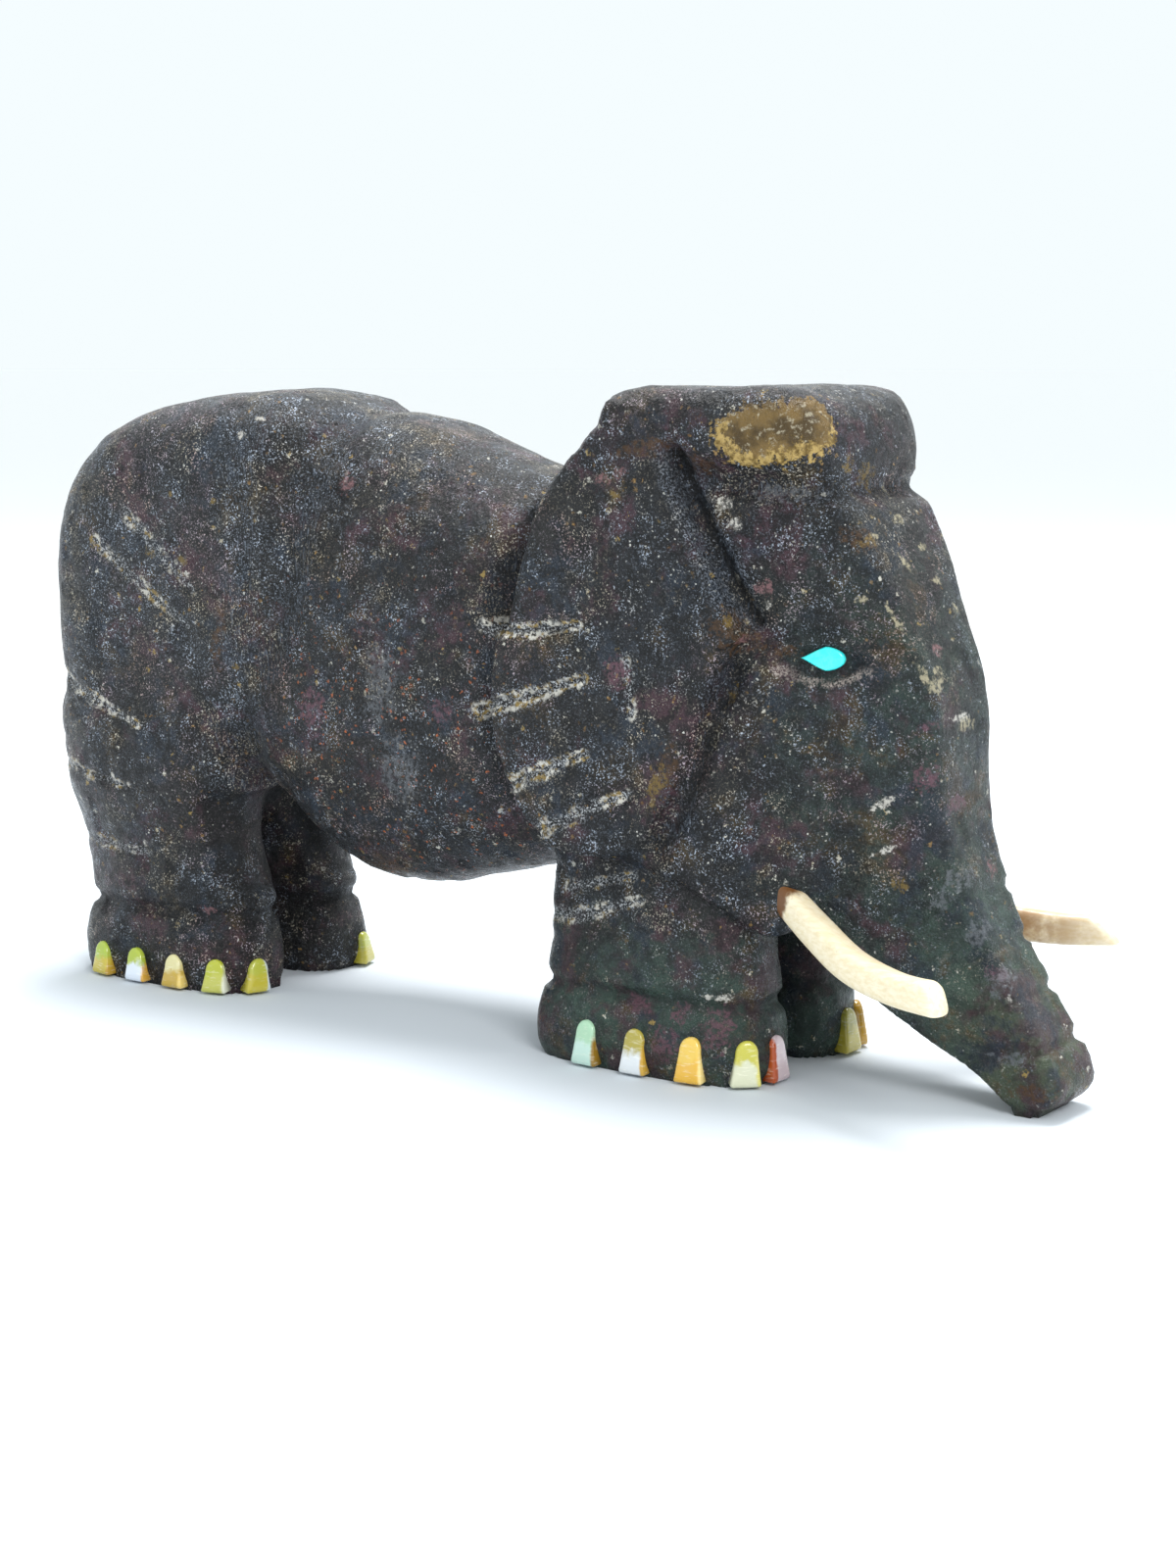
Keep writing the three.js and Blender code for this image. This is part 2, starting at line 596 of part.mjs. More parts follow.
place('body', geometryOf(stone), finish(0x33352f, 0.5));
for (const { name, piece } of tusks) place(name, geometryOf(solidOf(piece)), finish(0xe6dcc0, 0.45));
for (const { name, piece } of eyes) place(name, geometryOf(solidOf(piece)), finish(0x3fd0cf, 0.35));
for (const { name, piece } of nails) place(name, geometryOf(solidOf(piece)), finish(0xd8cf6a, 0.3));

// The origin comes under the middle of the carving
const middle = new THREE.Box3().setFromObject(carving).getCenter(new THREE.Vector3());
carving.position.x = -middle.x;

export default carving;
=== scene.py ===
import math

import bpy
import numpy as np
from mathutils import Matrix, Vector


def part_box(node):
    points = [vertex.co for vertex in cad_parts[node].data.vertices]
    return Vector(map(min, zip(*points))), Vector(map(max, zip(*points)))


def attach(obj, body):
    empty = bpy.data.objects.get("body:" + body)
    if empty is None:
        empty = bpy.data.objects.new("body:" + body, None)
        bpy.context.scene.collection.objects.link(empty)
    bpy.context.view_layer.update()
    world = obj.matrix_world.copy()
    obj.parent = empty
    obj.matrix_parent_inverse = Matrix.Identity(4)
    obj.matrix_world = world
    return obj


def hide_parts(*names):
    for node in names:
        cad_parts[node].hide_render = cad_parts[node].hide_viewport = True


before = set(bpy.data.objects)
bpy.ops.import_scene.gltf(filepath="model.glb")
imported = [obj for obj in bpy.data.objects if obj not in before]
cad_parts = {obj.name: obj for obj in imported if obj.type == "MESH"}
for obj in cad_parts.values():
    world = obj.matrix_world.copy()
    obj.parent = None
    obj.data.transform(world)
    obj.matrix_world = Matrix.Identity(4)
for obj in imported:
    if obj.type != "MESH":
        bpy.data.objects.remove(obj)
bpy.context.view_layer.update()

MM = 0.001


# The stone. The elephant is cut from one block of dark mottled stone, ground with small wheels and
# rubbed to a satin finish. Its form is kept in shares of its height, x forward from over the hind
# feet and z up, and every form gives its distance, negative inside the stone.

def smooth(share):
    held = np.clip(share, 0, 1)
    return held * held * (3 - 2 * held)


def soft_min(a, b, width):
    overlap = np.maximum(width - np.abs(a - b), 0) / width
    return np.minimum(a, b) - overlap * overlap * width / 4


def soft_max(a, b, width):
    return -soft_min(-a, -b, width)


def trough(distance, reach):
    """1 on a line, falling smoothly to 0 at this distance from it."""
    return smooth(1 - np.abs(distance) / reach)


def stations(rows):
    """Values at places along an axis, joined smoothly. A row holds the place, then its values."""
    table = np.array(rows, float)
    last = len(table) - 1
    before = table[np.maximum(np.arange(last + 1) - 1, 0)]
    after = table[np.minimum(np.arange(last + 1) + 1, last)]
    slopes = (after - before) / (after[:, :1] - before[:, :1])

    def values(place):
        at = np.clip(place, table[0, 0], table[last, 0])
        i = np.clip(np.searchsorted(table[:, 0], at, side="left") - 1, 0, last - 1)
        span = table[i + 1, 0] - table[i, 0]
        t = (at - table[i, 0]) / span
        columns = []
        for k in range(1, table.shape[1]):
            rise = table[i + 1, k] - table[i, k]
            enter = slopes[i, k] * span
            leave = slopes[i + 1, k] * span
            bend = (enter + leave - 2 * rise) * t + (3 * rise - 2 * enter - leave)
            columns.append(table[i, k] + t * (enter + t * bend))
        return columns
    return values


def smooth_path(points, closed, pieces):
    """Points along one smooth curve through these."""
    knots = np.array(points, float)
    count = len(knots)
    spans = count if closed else count - 1
    place = np.linspace(0, spans, pieces + 1)
    i = np.minimum(place.astype(int), spans - 1)
    t = (place - i)[:, None]
    if closed:
        ends = [knots[(i + step) % count] for step in (-1, 0, 1, 2)]
    else:
        padded = np.vstack([2 * knots[0] - knots[1], knots, 2 * knots[-1] - knots[-2]])
        ends = [padded[i + step] for step in range(4)]
    gaps = [np.sqrt(np.linalg.norm(b - a, axis=1, keepdims=True)) for a, b in zip(ends, ends[1:])]
    before, start, end, after = ends
    first, middle, last = gaps
    leave = ((start - before) / first - (end - before) / (first + middle) + (end - start) / middle) * middle
    arrive = ((end - start) / middle - (after - start) / (middle + last) + (after - end) / last) * middle
    square = 3 * (end - start) - 2 * leave - arrive
    cube = 2 * (start - end) + leave + arrive
    return start + t * (leave + t * (square + t * cube))


def to_path(x, z, path):
    """The distance from a path in the side view."""
    nearest = np.full(np.broadcast(x, z).shape, np.inf)
    for a, b in zip(path, path[1:]):
        ex, ez = b - a
        t = np.clip(((x - a[0]) * ex + (z - a[1]) * ez) / (ex * ex + ez * ez), 0, 1)
        nearest = np.minimum(nearest, (x - a[0] - t * ex) ** 2 + (z - a[1] - t * ez) ** 2)
    return np.sqrt(nearest)


def outline(points):
    """A closed outline in the side view, as a distance that is negative inside."""
    ring = smooth_path(points, True, 3 * len(points))

    def distance(x, z):
        inside = np.zeros(np.broadcast(x, z).shape, bool)
        for (ax, az), (bx, bz) in zip(ring, ring[1:]):
            if az != bz:
                inside ^= ((az > z) != (bz > z)) & (x < ax + (z - az) / (bz - az) * (bx - ax))
        away = to_path(x, z, ring)
        return np.where(inside, -away, away)
    return distance


def line(points):
    path = smooth_path(points, False, 4 * (len(points) - 1))
    return lambda x, z: to_path(x, z, path)


def rounded(u, v, a, b, power):
    """How far (u, v) lies outside a rounded section with these half sizes."""
    reach = (np.abs(u / a) ** power + np.abs(v / b) ** power) ** (1 / power)
    return np.hypot(u, v) * (1 - 1 / np.maximum(reach, 1e-6))


# Barrel: x, top, belly, half width
barrel_at = stations([
    [-0.10, 0.940, 0.420, 0.185],
    [0.16, 0.962, 0.345, 0.192],
    [0.30, 0.974, 0.322, 0.197],
    [0.42, 0.972, 0.236, 0.198],
    [0.58, 0.954, 0.208, 0.196],
    [0.75, 0.895, 0.246, 0.188],
    [0.90, 0.862, 0.285, 0.176],
    [1.12, 0.850, 0.320, 0.170],
])


def barrel(x, side, z):
    top, belly, half = barrel_at(x)
    section = rounded(side, z - (top + belly) / 2, half, (top - belly) / 2, 2.7)
    return soft_max(section, np.maximum(-0.08 - x, x - 1.15), 0.06)


# Hindquarters: a rounded block, cut back in front to the line of the thigh
haunch = outline([
    [-0.193, 0.640], [-0.183, 0.770], [-0.146, 0.862], [-0.078, 0.928], [0.020, 0.970], [0.160, 0.994],
    [0.300, 1.004], [0.395, 0.982], [0.436, 0.910], [0.430, 0.800], [0.400, 0.690], [0.345, 0.560],
    [0.290, 0.460], [0.252, 0.380], [0.205, 0.315], [0.060, 0.260], [-0.130, 0.290], [-0.160, 0.400],
    [-0.180, 0.520],
])


def hindquarters(x, side, z):
    return soft_max(haunch(x, z), side - 0.206, 0.15)


# Tail: a low ridge down the back of the hindquarters
tail_rear = stations([[0.30, -0.152], [0.42, -0.169], [0.64, -0.193], [0.78, -0.181], [0.88, -0.133]])


def tail(x, side, z):
    rear, = tail_rear(z)
    ends = np.maximum(0.34 - z, z - 0.84)
    half = 0.015 + 0.010 * trough(z - 0.38, 0.06)
    return soft_max(rounded(x - rear, side, 0.017, half, 2), ends, 0.04)


# Legs: height, rear, front, inner side, outer side
hind_leg_at = stations([
    [0.125, -0.122, 0.268, 0.016, 0.189],
    [0.200, -0.134, 0.262, 0.016, 0.190],
    [0.300, -0.146, 0.250, 0.012, 0.194],
    [0.400, -0.158, 0.240, 0.000, 0.196],
])
fore_leg_at = stations([
    [0.115, 0.866, 1.262, 0.016, 0.187],
    [0.200, 0.874, 1.250, 0.016, 0.179],
    [0.300, 0.872, 1.240, 0.012, 0.168],
    [0.420, 0.860, 1.230, 0.000, 0.160],
])


def leg(x, side, z, leg_at, power):
    rear, front, inner, outer = leg_at(z)
    column = rounded(
        x - (rear + front) / 2, side - (inner + outer) / 2, (front - rear) / 2, (outer - inner) / 2, power)
    return soft_max(column, np.maximum(z - 0.44, 0.06 - z), 0.03)


# Feet: each bulges out below its ankle groove. Its plan is a rounded oblong: middle, half length, ankle.
FOOT_SIDE = 0.104
FOOT_HALF_WIDTH = 0.092
FOOT_POWER = 3
FEET = {"hind": (0.069, 0.203, 0.130), "fore": (1.060, 0.208, 0.116)}


def foot(x, side, z, middle, half, ankle):
    draw = 0.014 * (1 - np.sin(math.pi * (0.24 + 0.76 * np.clip(z / ankle, 0, 1))))
    column = rounded(x - middle, side - FOOT_SIDE, half - draw, FOOT_HALF_WIDTH - draw, FOOT_POWER)
    return soft_max(column, np.maximum(z - ankle + 0.002, -0.008 - z), 0.034)


# Head and trunk: one profile, whose sides draw together towards the front
head_profile = outline([
    [0.940, 0.900], [0.990, 0.965], [1.080, 0.990], [1.220, 0.992], [1.315, 0.975], [1.350, 0.925],
    [1.368, 0.880], [1.395, 0.835], [1.446, 0.738], [1.472, 0.670], [1.500, 0.600], [1.513, 0.504],
    [1.515, 0.440], [1.526, 0.378], [1.547, 0.330], [1.595, 0.229], [1.655, 0.138], [1.694, 0.072],
    [1.700, 0.036], [1.674, 0.008], [1.622, 0.004], [1.585, 0.030], [1.540, 0.066], [1.484, 0.100],
    [1.425, 0.145], [1.375, 0.205], [1.325, 0.262], [1.270, 0.300], [1.100, 0.340], [0.930, 0.400],
    [0.900, 0.620], [0.905, 0.800],
])
FACE_TAPER = 0.29


def face_half_width(x):
    return 0.186 - FACE_TAPER * soft_max(x - 1.17, 0, 0.06)


def head_and_trunk(x, side, z):
    return soft_max(head_profile(x, z), side - np.maximum(face_half_width(x), 0.072), 0.026)


# Cheek: its lower edge drops to a corner behind the tusk
cheek_outline = outline([
    [0.930, 0.345], [0.990, 0.318], [1.063, 0.309], [1.150, 0.289], [1.210, 0.255], [1.255, 0.228],
    [1.290, 0.226], [1.318, 0.250], [1.336, 0.300], [1.350, 0.400], [1.330, 0.520], [1.180, 0.580],
    [1.000, 0.520],
])


def cheek(x, side, z):
    return soft_max(cheek_outline(x, z), side - face_half_width(x) - 0.007, 0.024)


# Cap: a thick rounded ridge over the brow, flat on top and round in front
cap_outline = outline([
    [0.975, 0.955], [1.030, 1.004], [1.180, 1.012], [1.300, 1.009], [1.352, 0.978], [1.378, 0.925],
    [1.366, 0.892], [1.290, 0.886], [1.190, 0.892], [1.110, 0.900], [1.020, 0.880],
])


def cap(x, side, z):
    return soft_max(cap_outline(x, z), rounded(np.maximum(x - 1.12, 0), side, 0.262, 0.206, 3), 0.05)


# Ear: a large flat plate, proudest along its rear edge and one with the cap above
ear_outline = outline([
    [1.130, 0.925], [1.100, 0.975], [1.030, 0.990], [0.975, 0.960], [0.925, 0.905], [0.885, 0.840],
    [0.858, 0.765], [0.826, 0.660], [0.812, 0.563], [0.822, 0.475], [0.850, 0.403], [0.888, 0.352],
    [0.950, 0.322], [1.040, 0.318], [1.105, 0.350], [1.152, 0.430], [1.180, 0.489], [1.212, 0.560],
    [1.240, 0.625], [1.250, 0.672], [1.228, 0.716], [1.197, 0.783], [1.166, 0.864],
])


def ear(x, side, z):
    return soft_max(ear_outline(x, z), side - 0.214 + 0.045 * np.clip(x - 0.95, 0, 0.3), 0.015)


# Lines cut in the stone's sides: half width, depth, how pale its broken edges are, and its course
CUTS = [
    # behind the ear, deep above and shallow below
    [0.046, 0.034, 0.0, [[0.985, 0.975], [0.930, 0.920], [0.880, 0.850], [0.848, 0.765], [0.818, 0.670]]],
    [0.024, 0.009, 0.0, [[0.818, 0.670], [0.800, 0.563], [0.812, 0.465], [0.842, 0.390], [0.880, 0.340]]],
    # before the ear
    [0.022, 0.020, 0.0, [[1.136, 0.915], [1.166, 0.845], [1.202, 0.775], [1.234, 0.715], [1.256, 0.680]]],
    [0.022, 0.016, 0.2, [[1.226, 0.612], [1.198, 0.532], [1.176, 0.459], [1.150, 0.400], [1.116, 0.347]]],
    # under the cap
    [0.024, 0.014, 0.0, [[1.175, 0.880], [1.215, 0.873], [1.290, 0.867], [1.350, 0.866], [1.420, 0.866]]],
    # before the thigh
    [0.050, 0.014, 0.0, [
        [0.455, 0.940], [0.436, 0.820], [0.410, 0.690], [0.352, 0.555], [0.300, 0.455], [0.262, 0.370]]],
    # across the ear's rear edge, and one upright on the ear
    [0.013, 0.009, 1.0, [[0.790, 0.648], [0.880, 0.650], [0.985, 0.664]]],
    [0.013, 0.009, 1.0, [[0.780, 0.522], [0.900, 0.556], [0.994, 0.586]]],
    [0.012, 0.007, 0.9, [[0.830, 0.408], [0.920, 0.444], [0.994, 0.476]]],
    [0.012, 0.008, 1.0, [[0.885, 0.344], [0.980, 0.384], [1.070, 0.423]]],
    [0.010, 0.005, 0.5, [[1.067, 0.615], [1.075, 0.538]]],
    # creases down the hind leg and the foreleg
    [0.011, 0.006, 0.8, [[-0.240, 0.535], [-0.127, 0.512], [0.078, 0.447]]],
    [0.010, 0.006, 0.5, [[-0.240, 0.372], [-0.102, 0.362], [0.039, 0.341]]],
    [0.010, 0.006, 0.5, [[-0.220, 0.238], [-0.083, 0.236], [0.070, 0.227]]],
    [0.010, 0.004, 0.5, [[0.930, 0.260], [1.053, 0.294]]],
    [0.010, 0.004, 0.4, [[0.880, 0.215], [0.963, 0.225], [1.070, 0.260]]],
    [0.010, 0.004, 0.0, [[0.840, 0.172], [0.908, 0.180], [1.017, 0.201]]],
    # creases across the trunk
    [0.011, 0.006, 0.1, [[1.480, 0.268], [1.560, 0.310], [1.640, 0.345]]],
    [0.011, 0.006, 0.3, [[1.520, 0.205], [1.600, 0.240], [1.680, 0.270]]],
    [0.011, 0.007, 0.2, [[1.540, 0.142], [1.630, 0.165], [1.720, 0.190]]],
    [0.012, 0.008, 0.1, [[1.560, 0.075], [1.640, 0.095], [1.760, 0.120]]],
]
# Finer scratches on the rump
SCRATCHES = [
    [0.010, 0.002, 0.5, [[-0.020, 0.748], [0.070, 0.690], [0.190, 0.618]]],
    [0.013, 0.002, 0.4, [[0.050, 0.800], [0.110, 0.745], [0.205, 0.675]]],
]
RUNS_OUT = 0.4            # a cut with edges paler than this narrows towards its end
WANDERS = 0.02            # a cut narrower than this follows the hand


def narrowing(course):
    """The distance from a line, growing faster towards its far end, where the cut runs out."""
    away = line(course)
    start, end = np.array(course[0]), np.array(course[-1])
    run = (end - start) / ((end - start) ** 2).sum()

    def distance(x, z):
        along = np.clip((x - start[0]) * run[0] + (z - start[1]) * run[1], 0, 1)
        return away(x, z) * (1 + 0.9 * along ** 2)
    return distance


CUT_LINES = [(reach, depth, pale, (narrowing if pale > RUNS_OUT else line)(course))
             for reach, depth, pale, course in CUTS + SCRATCHES]
DEEP_LINES = CUT_LINES[:6]

HOLLOW_DEPTH = 0.020
hollow_outline = outline([
    [0.172, 0.318], [0.205, 0.342], [0.260, 0.346], [0.330, 0.330], [0.350, 0.240], [0.330, 0.165],
    [0.245, 0.160], [0.205, 0.205],
])

EYE_X, EYE_Z = 1.348, 0.631
SOCKET_DEPTH = 0.011
brow_line = line([[1.225, 0.634], [1.294, 0.656], [1.390, 0.662], [1.450, 0.650]])


def cut_depth(x, z):
    """How deep lines, ankle grooves and eye sockets go into the stone, and how pale their edges are."""
    deepest = np.zeros(np.broadcast(x, z).shape)
    pale = np.zeros_like(deepest)
    # A hand-held wheel wanders in the small cuts
    wandering = (x + 0.0030 * np.sin(57 * z + 1.3) + 0.0018 * np.sin(131 * z),
                 z + 0.0030 * np.sin(49 * x) + 0.0018 * np.sin(117 * x + 2))
    for reach, depth, paleness, away in CUT_LINES:
        share = trough(away(*(wandering if reach < WANDERS else (x, z))), reach)
        deepest = np.maximum(deepest, depth * share)
        pale = np.maximum(pale, paleness * share)
    for middle, half, ankle in FEET.values():
        ring = np.where(np.abs(x - middle) < half + 0.03, 0.013 * trough(z - ankle, 0.016), 0)
        deepest = np.maximum(deepest, ring)
    almond = rounded(x - EYE_X, z - EYE_Z + 0.006, 0.068, 0.034, 1.6)
    deepest = np.maximum(deepest, SOCKET_DEPTH * smooth(-almond / 0.02))
    deepest = np.maximum(deepest, 0.008 * trough(brow_line(x, z), 0.014))
    deepest = np.maximum(deepest, HOLLOW_DEPTH * smooth(-hollow_outline(x, z) / 0.026))
    return deepest, pale


def stone_distance(x, y, z):
    side = np.abs(y)
    hind = soft_min(hindquarters(x, side, z), leg(x, side, z, hind_leg_at, 2.5), 0.07)
    hind = soft_min(hind, tail(x, side, z), 0.012)
    body = soft_min(barrel(x, side, z), hind, 0.03)
    body = soft_min(body, leg(x, side, z, fore_leg_at, 3.2), 0.03)
    feet = np.minimum(foot(x, side, z, *FEET["hind"]), foot(x, side, z, *FEET["fore"]))
    body = soft_min(body, feet, 0.012)
    head = soft_min(head_and_trunk(x, side, z), cheek(x, side, z), 0.02)
    head = soft_min(head, cap(x, side, z), 0.016)
    head = soft_min(head, ear(x, side, z), 0.010)
    return soft_min(body, head, 0.012) + cut_depth(x, z)[0]


def grid_surface(values):
    """Corners and four-sided faces where values on a grid change sign, in grid steps."""
    inside = values < 0
    shape = np.array(values.shape) - 1
    total = np.zeros((*shape, 3))
    count = np.zeros(shape)
    for axis in range(3):
        a = np.moveaxis(values, axis, 0)
        s = np.moveaxis(inside, axis, 0)
        crossed = s[:-1] != s[1:]
        share = np.where(crossed, a[:-1] / np.where(crossed, a[:-1] - a[1:], 1), 0)
        crossed = np.moveaxis(crossed, 0, axis)
        share = np.moveaxis(share, 0, axis)
        others = [k for k in range(3) if k != axis]
        for first in (0, 1):
            for second in (0, 1):
                window = [slice(None)] * 3
                window[others[0]] = slice(first, first + shape[others[0]])
                window[others[1]] = slice(second, second + shape[others[1]])
                here = crossed[tuple(window)]
                total[..., axis] += share[tuple(window)]
                total[..., others[0]] += here * first
                total[..., others[1]] += here * second
                count += here
    active = count > 0
    number = np.full(shape, -1)
    number[active] = np.arange(active.sum())
    corners = np.argwhere(active) + total[active] / count[active][:, None]
    faces = []
    for axis in range(3):
        s = np.moveaxis(inside, axis, 0)
        crossed = np.moveaxis(s[:-1] != s[1:], 0, axis)
        places = np.argwhere(crossed)
        u, v = np.eye(3, dtype=int)[(axis + 1) % 3], np.eye(3, dtype=int)[(axis + 2) % 3]
        ring = [number[tuple((places - step).T)] for step in (0 * u, u, u + v, v)]
        ring = np.stack(ring, 1)
        outward = inside[tuple(places.T)]
        ring[~outward] = ring[~outward][:, ::-1]
        faces.append(ring)
    return corners, np.vstack(faces)


def sample(values, places):
    """Values of a grid between its points, at places in grid steps."""
    base = np.clip(np.floor(places).astype(int), 0, np.array(values.shape[:3]) - 2)
    part = places - base
    total = 0
    for corner in np.ndindex(2, 2, 2):
        weight = np.prod(np.where(corner, part, 1 - part), axis=1)
        picked = values[tuple((base + corner).T)]
        total = total + (weight * picked.T).T
    return total


def cloud(places, grain, seed):
    """A smooth random field from -1 to 1, whose swells are about a grain across."""
    q = places / grain + 11.7 * seed
    cell = np.floor(q).astype(np.int64)
    part = q - cell
    part = part ** 3 * (part * (6 * part - 15) + 10)
    total = 0
    for corner in np.ndindex(2, 2, 2):
        c = cell + corner
        key = c[:, 0] * 374761393 + c[:, 1] * 668265263 + c[:, 2] * 1274126177 + seed * 362437
        key = key & 0xFFFFFFFF
        key = ((key ^ (key >> 13)) * 1103515245) & 0xFFFFFFFF
        key = (key ^ (key >> 16)) & 0xFFFF
        total = total + np.prod(np.where(corner, part, 1 - part), axis=1) * (key / 32767.5 - 1)
    return total


# The grid that the stone's surface is drawn on, in shares of the height
LOW = np.array([-0.26, -0.25, -0.05])
HIGH = np.array([1.76, 0.25, 1.06])
STEP = 0.0083
axes = [np.arange(low, high + STEP, STEP) for low, high in zip(LOW, HIGH)]
gx, gy, gz = np.ix_(*axes)
field = np.maximum(stone_distance(gx, gy, gz), -gz).astype(np.float32)
slope = np.stack(np.gradient(field), -1)
points, quads = grid_surface(field)
for _ in range(2):
    lean = sample(slope, points)
    reach = sample(field, points) / np.maximum((lean ** 2).sum(1), 1e-12)
    points -= np.clip(reach, -0.6, 0.6)[:, None] * lean
normals = sample(slope, points)
normals /= np.maximum(np.linalg.norm(normals, axis=1, keepdims=True), 1e-12)
shares = LOW + points * STEP
del field, slope

# The carving fills the frame's box, whose height gives the scale
box_low, box_high = (np.array(corner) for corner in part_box("body"))
HEIGHT = float(box_high[2] / shares[:, 2].max())
SHIFT = float(box_low[0] - shares[:, 0].min() * HEIGHT)


def in_metres(x, y, z):
    """A place in shares of the height, in the frame."""
    return np.array([x * HEIGHT + SHIFT, y * HEIGHT, z * HEIGHT])


# Ground by hand: broad soft facets, finer unevenness, pits, and crumbled edges along the cuts
UNEVEN = [(0.30, 9.0, 1), (0.13, 4.2, 2), (0.07, 1.8, 3)]      # depth and breadth in mm, and a seed
PIT_DEPTH, CRUMBLED, INWARD = 0.18, 0.30, 0.30                 # in mm; all of it lies that far inward
places_mm = shares * HEIGHT / MM
_, pale_cut = cut_depth(shares[:, 0], shares[:, 2])
relief = sum(depth * cloud(places_mm, grain, seed) for depth, grain, seed in UNEVEN)
relief -= PIT_DEPTH * smooth((cloud(places_mm, 2.4, 4) - 0.40) / 0.3)
relief += CRUMBLED * pale_cut * cloud(places_mm, 1.2, 5)
relief -= INWARD
sole = shares[:, 2] < 0.6 * STEP
relief[sole] = 0
metres = shares * HEIGHT + [SHIFT, 0, 0] + normals * (relief * MM)[:, None]
metres = np.clip(metres, box_low, box_high)
metres[sole, 2] = box_low[2]


def new_piece(name, corners, faces, **marks):
    """A smooth-shaded piece of this mesh, with these values stored on its corners."""
    mesh = bpy.data.meshes.new(name)
    mesh.from_pydata([tuple(c) for c in corners], [], [tuple(int(i) for i in f) for f in faces])
    mesh.validate()
    mesh.shade_smooth()
    for key, values in marks.items():
        store = mesh.attributes.new(key, "FLOAT", "POINT")
        store.data.foreach_set("value", np.asarray(values, np.float32))
    piece = bpy.data.objects.new(name, mesh)
    bpy.context.collection.objects.link(piece)
    return piece


x, y, z = shares.T

# Where the wheel left the stone scuffed: in the deep lines, down the thigh's front, on back and rump. Down
# the thigh's front and on the back's upward-facing top the mark is also painted sheen, a pale band where
# light glances off the polish.
scuffed = np.zeros(len(shares))
for reach, _, _, away in DEEP_LINES:
    scuffed = np.maximum(scuffed, trough(away(x, z), 1.5 * reach))
# Scuffing, and a painted highlight band down the thigh's front
thigh_front = np.array([[0.33, 0.98], [0.30, 0.62], [0.25, 0.42]])
scuffed = np.maximum(scuffed, 0.8 * trough(to_path(x, z, thigh_front), 0.13))
# Scuffing and painted sheen: the back is paler where it faces up, as light glances off its top
back_scuff_and_sheen = 0.6 * trough(z - 0.95, 0.14) * (x < 0.95) * smooth(normals[:, 2] / 0.6)
scuffed = np.maximum(scuffed, back_scuff_and_sheen)
on_rump = 0.6 * smooth((0.36 - x) / 0.2) * smooth((z - 0.42) / 0.2)
scuffed = np.maximum(scuffed, on_rump)
# Deep green where light gets into the thin stone: the trunk's end and the forefeet
trunk_end = smooth((x - 1.38) / 0.15) * smooth((0.62 - z) / 0.45)
forefeet = smooth((x - 0.80) / 0.1) * smooth((0.30 - z) / 0.2)
face = 0.5 * smooth((x - 1.2) / 0.2) * smooth((0.9 - z) / 0.3)
green = np.maximum(np.maximum(trunk_end, forefeet), face)
thin = smooth((x - 1.50) / 0.12) * smooth((0.26 - z) / 0.16)
# Orange crumbs low on the barrel
belly = smooth((x - 0.25) / 0.25) * smooth((0.95 - x) / 0.2)
belly = belly * smooth((0.85 - z) / 0.5) * smooth((0.3 - y) / 0.5)
# Painted shade: the stone is darkened in its cuts, grooves, sockets and hollows, more the deeper they go
hollow = smooth(cut_depth(x, z)[0] / 0.02)

stone = new_piece("stone_elephant", metres, quads, scuffed=scuffed, green=green, thin=thin, belly=belly,
                  hollow=hollow)


class Finish:
    """The nodes of a material or of a shader group, and short ways to add to them."""

    def __init__(self, tree):
        self.tree = tree

    def put(self, kind, inputs=(), **settings):
        node = self.tree.nodes.new(kind)
        for key, value in settings.items():
            setattr(node, key, value)
        for key, value in (inputs.items() if isinstance(inputs, dict) else enumerate(inputs)):
            if isinstance(value, bpy.types.NodeSocket):
                self.tree.links.new(value, node.inputs[key])
            elif value is not None:
                node.inputs[key].default_value = value
        return node

    def math(self, operation, *values):
        return self.put("ShaderNodeMath", values, operation=operation).outputs[0]

    def vector(self, operation, *values, scale=None):
        node = self.put("ShaderNodeVectorMath", values, operation=operation)
        if scale is not None:
            node.inputs["Scale"].default_value = scale
        return node.outputs["Value" if operation in ("LENGTH", "DOT_PRODUCT") else "Vector"]

    def between(self, value, low, high, start=0.0, end=1.0):
        return self.put("ShaderNodeMapRange", (value, low, high, start, end),
                        interpolation_type="SMOOTHSTEP").outputs[0]

    def noise(self, place, per_unit, detail=3.0, roughness=0.55):
        return self.put("ShaderNodeTexNoise", {
            "Vector": place, "Scale": per_unit, "Detail": detail, "Roughness": roughness}).outputs["Fac"]

    def mix(self, share, a, b):
        return self.put("ShaderNodeMix", {0: share, 6: a, 7: b}, data_type="RGBA").outputs[2]

    def mark(self, name):
        return self.put("ShaderNodeAttribute", attribute_name=name).outputs["Fac"]

    def group(self, effect, **inputs):
        node = self.put("ShaderNodeGroup", node_tree=effect)
        for key, value in inputs.items():
            socket = node.inputs[key.replace("_", " ")]
            if isinstance(value, bpy.types.NodeSocket):
                self.tree.links.new(value, socket)
            else:
                socket.default_value = value
        return node.outputs[0]

    def send(self, value, socket):
        self.tree.links.new(value, socket)


def material(name):
    made = bpy.data.materials.new(name)
    made.use_nodes = True
    finish = Finish(made.node_tree)
    finish.made = made
    finish.surface = made.node_tree.nodes["Principled BSDF"].inputs
    place = finish.put("ShaderNodeTexCoord").outputs["Object"]
    finish.mm = finish.vector("SCALE", place, scale=1 / MM)
    return finish


def effect(name, kinds, result):
    """A shader group with these inputs, each with its first value, and one output."""
    tree = bpy.data.node_groups.new(name, "ShaderNodeTree")
    for key, value in kinds.items():
        kind = "NodeSocketVector" if isinstance(value, tuple) else "NodeSocketFloat"
        tree.interface.new_socket(key, in_out="INPUT", socket_type=kind).default_value = value
    tree.interface.new_socket(result, in_out="OUTPUT", socket_type="NodeSocketFloat")
    finish = Finish(tree)
    finish.given = tree.nodes.new("NodeGroupInput").outputs
    finish.result = tree.nodes.new("NodeGroupOutput").inputs[result]
    return finish


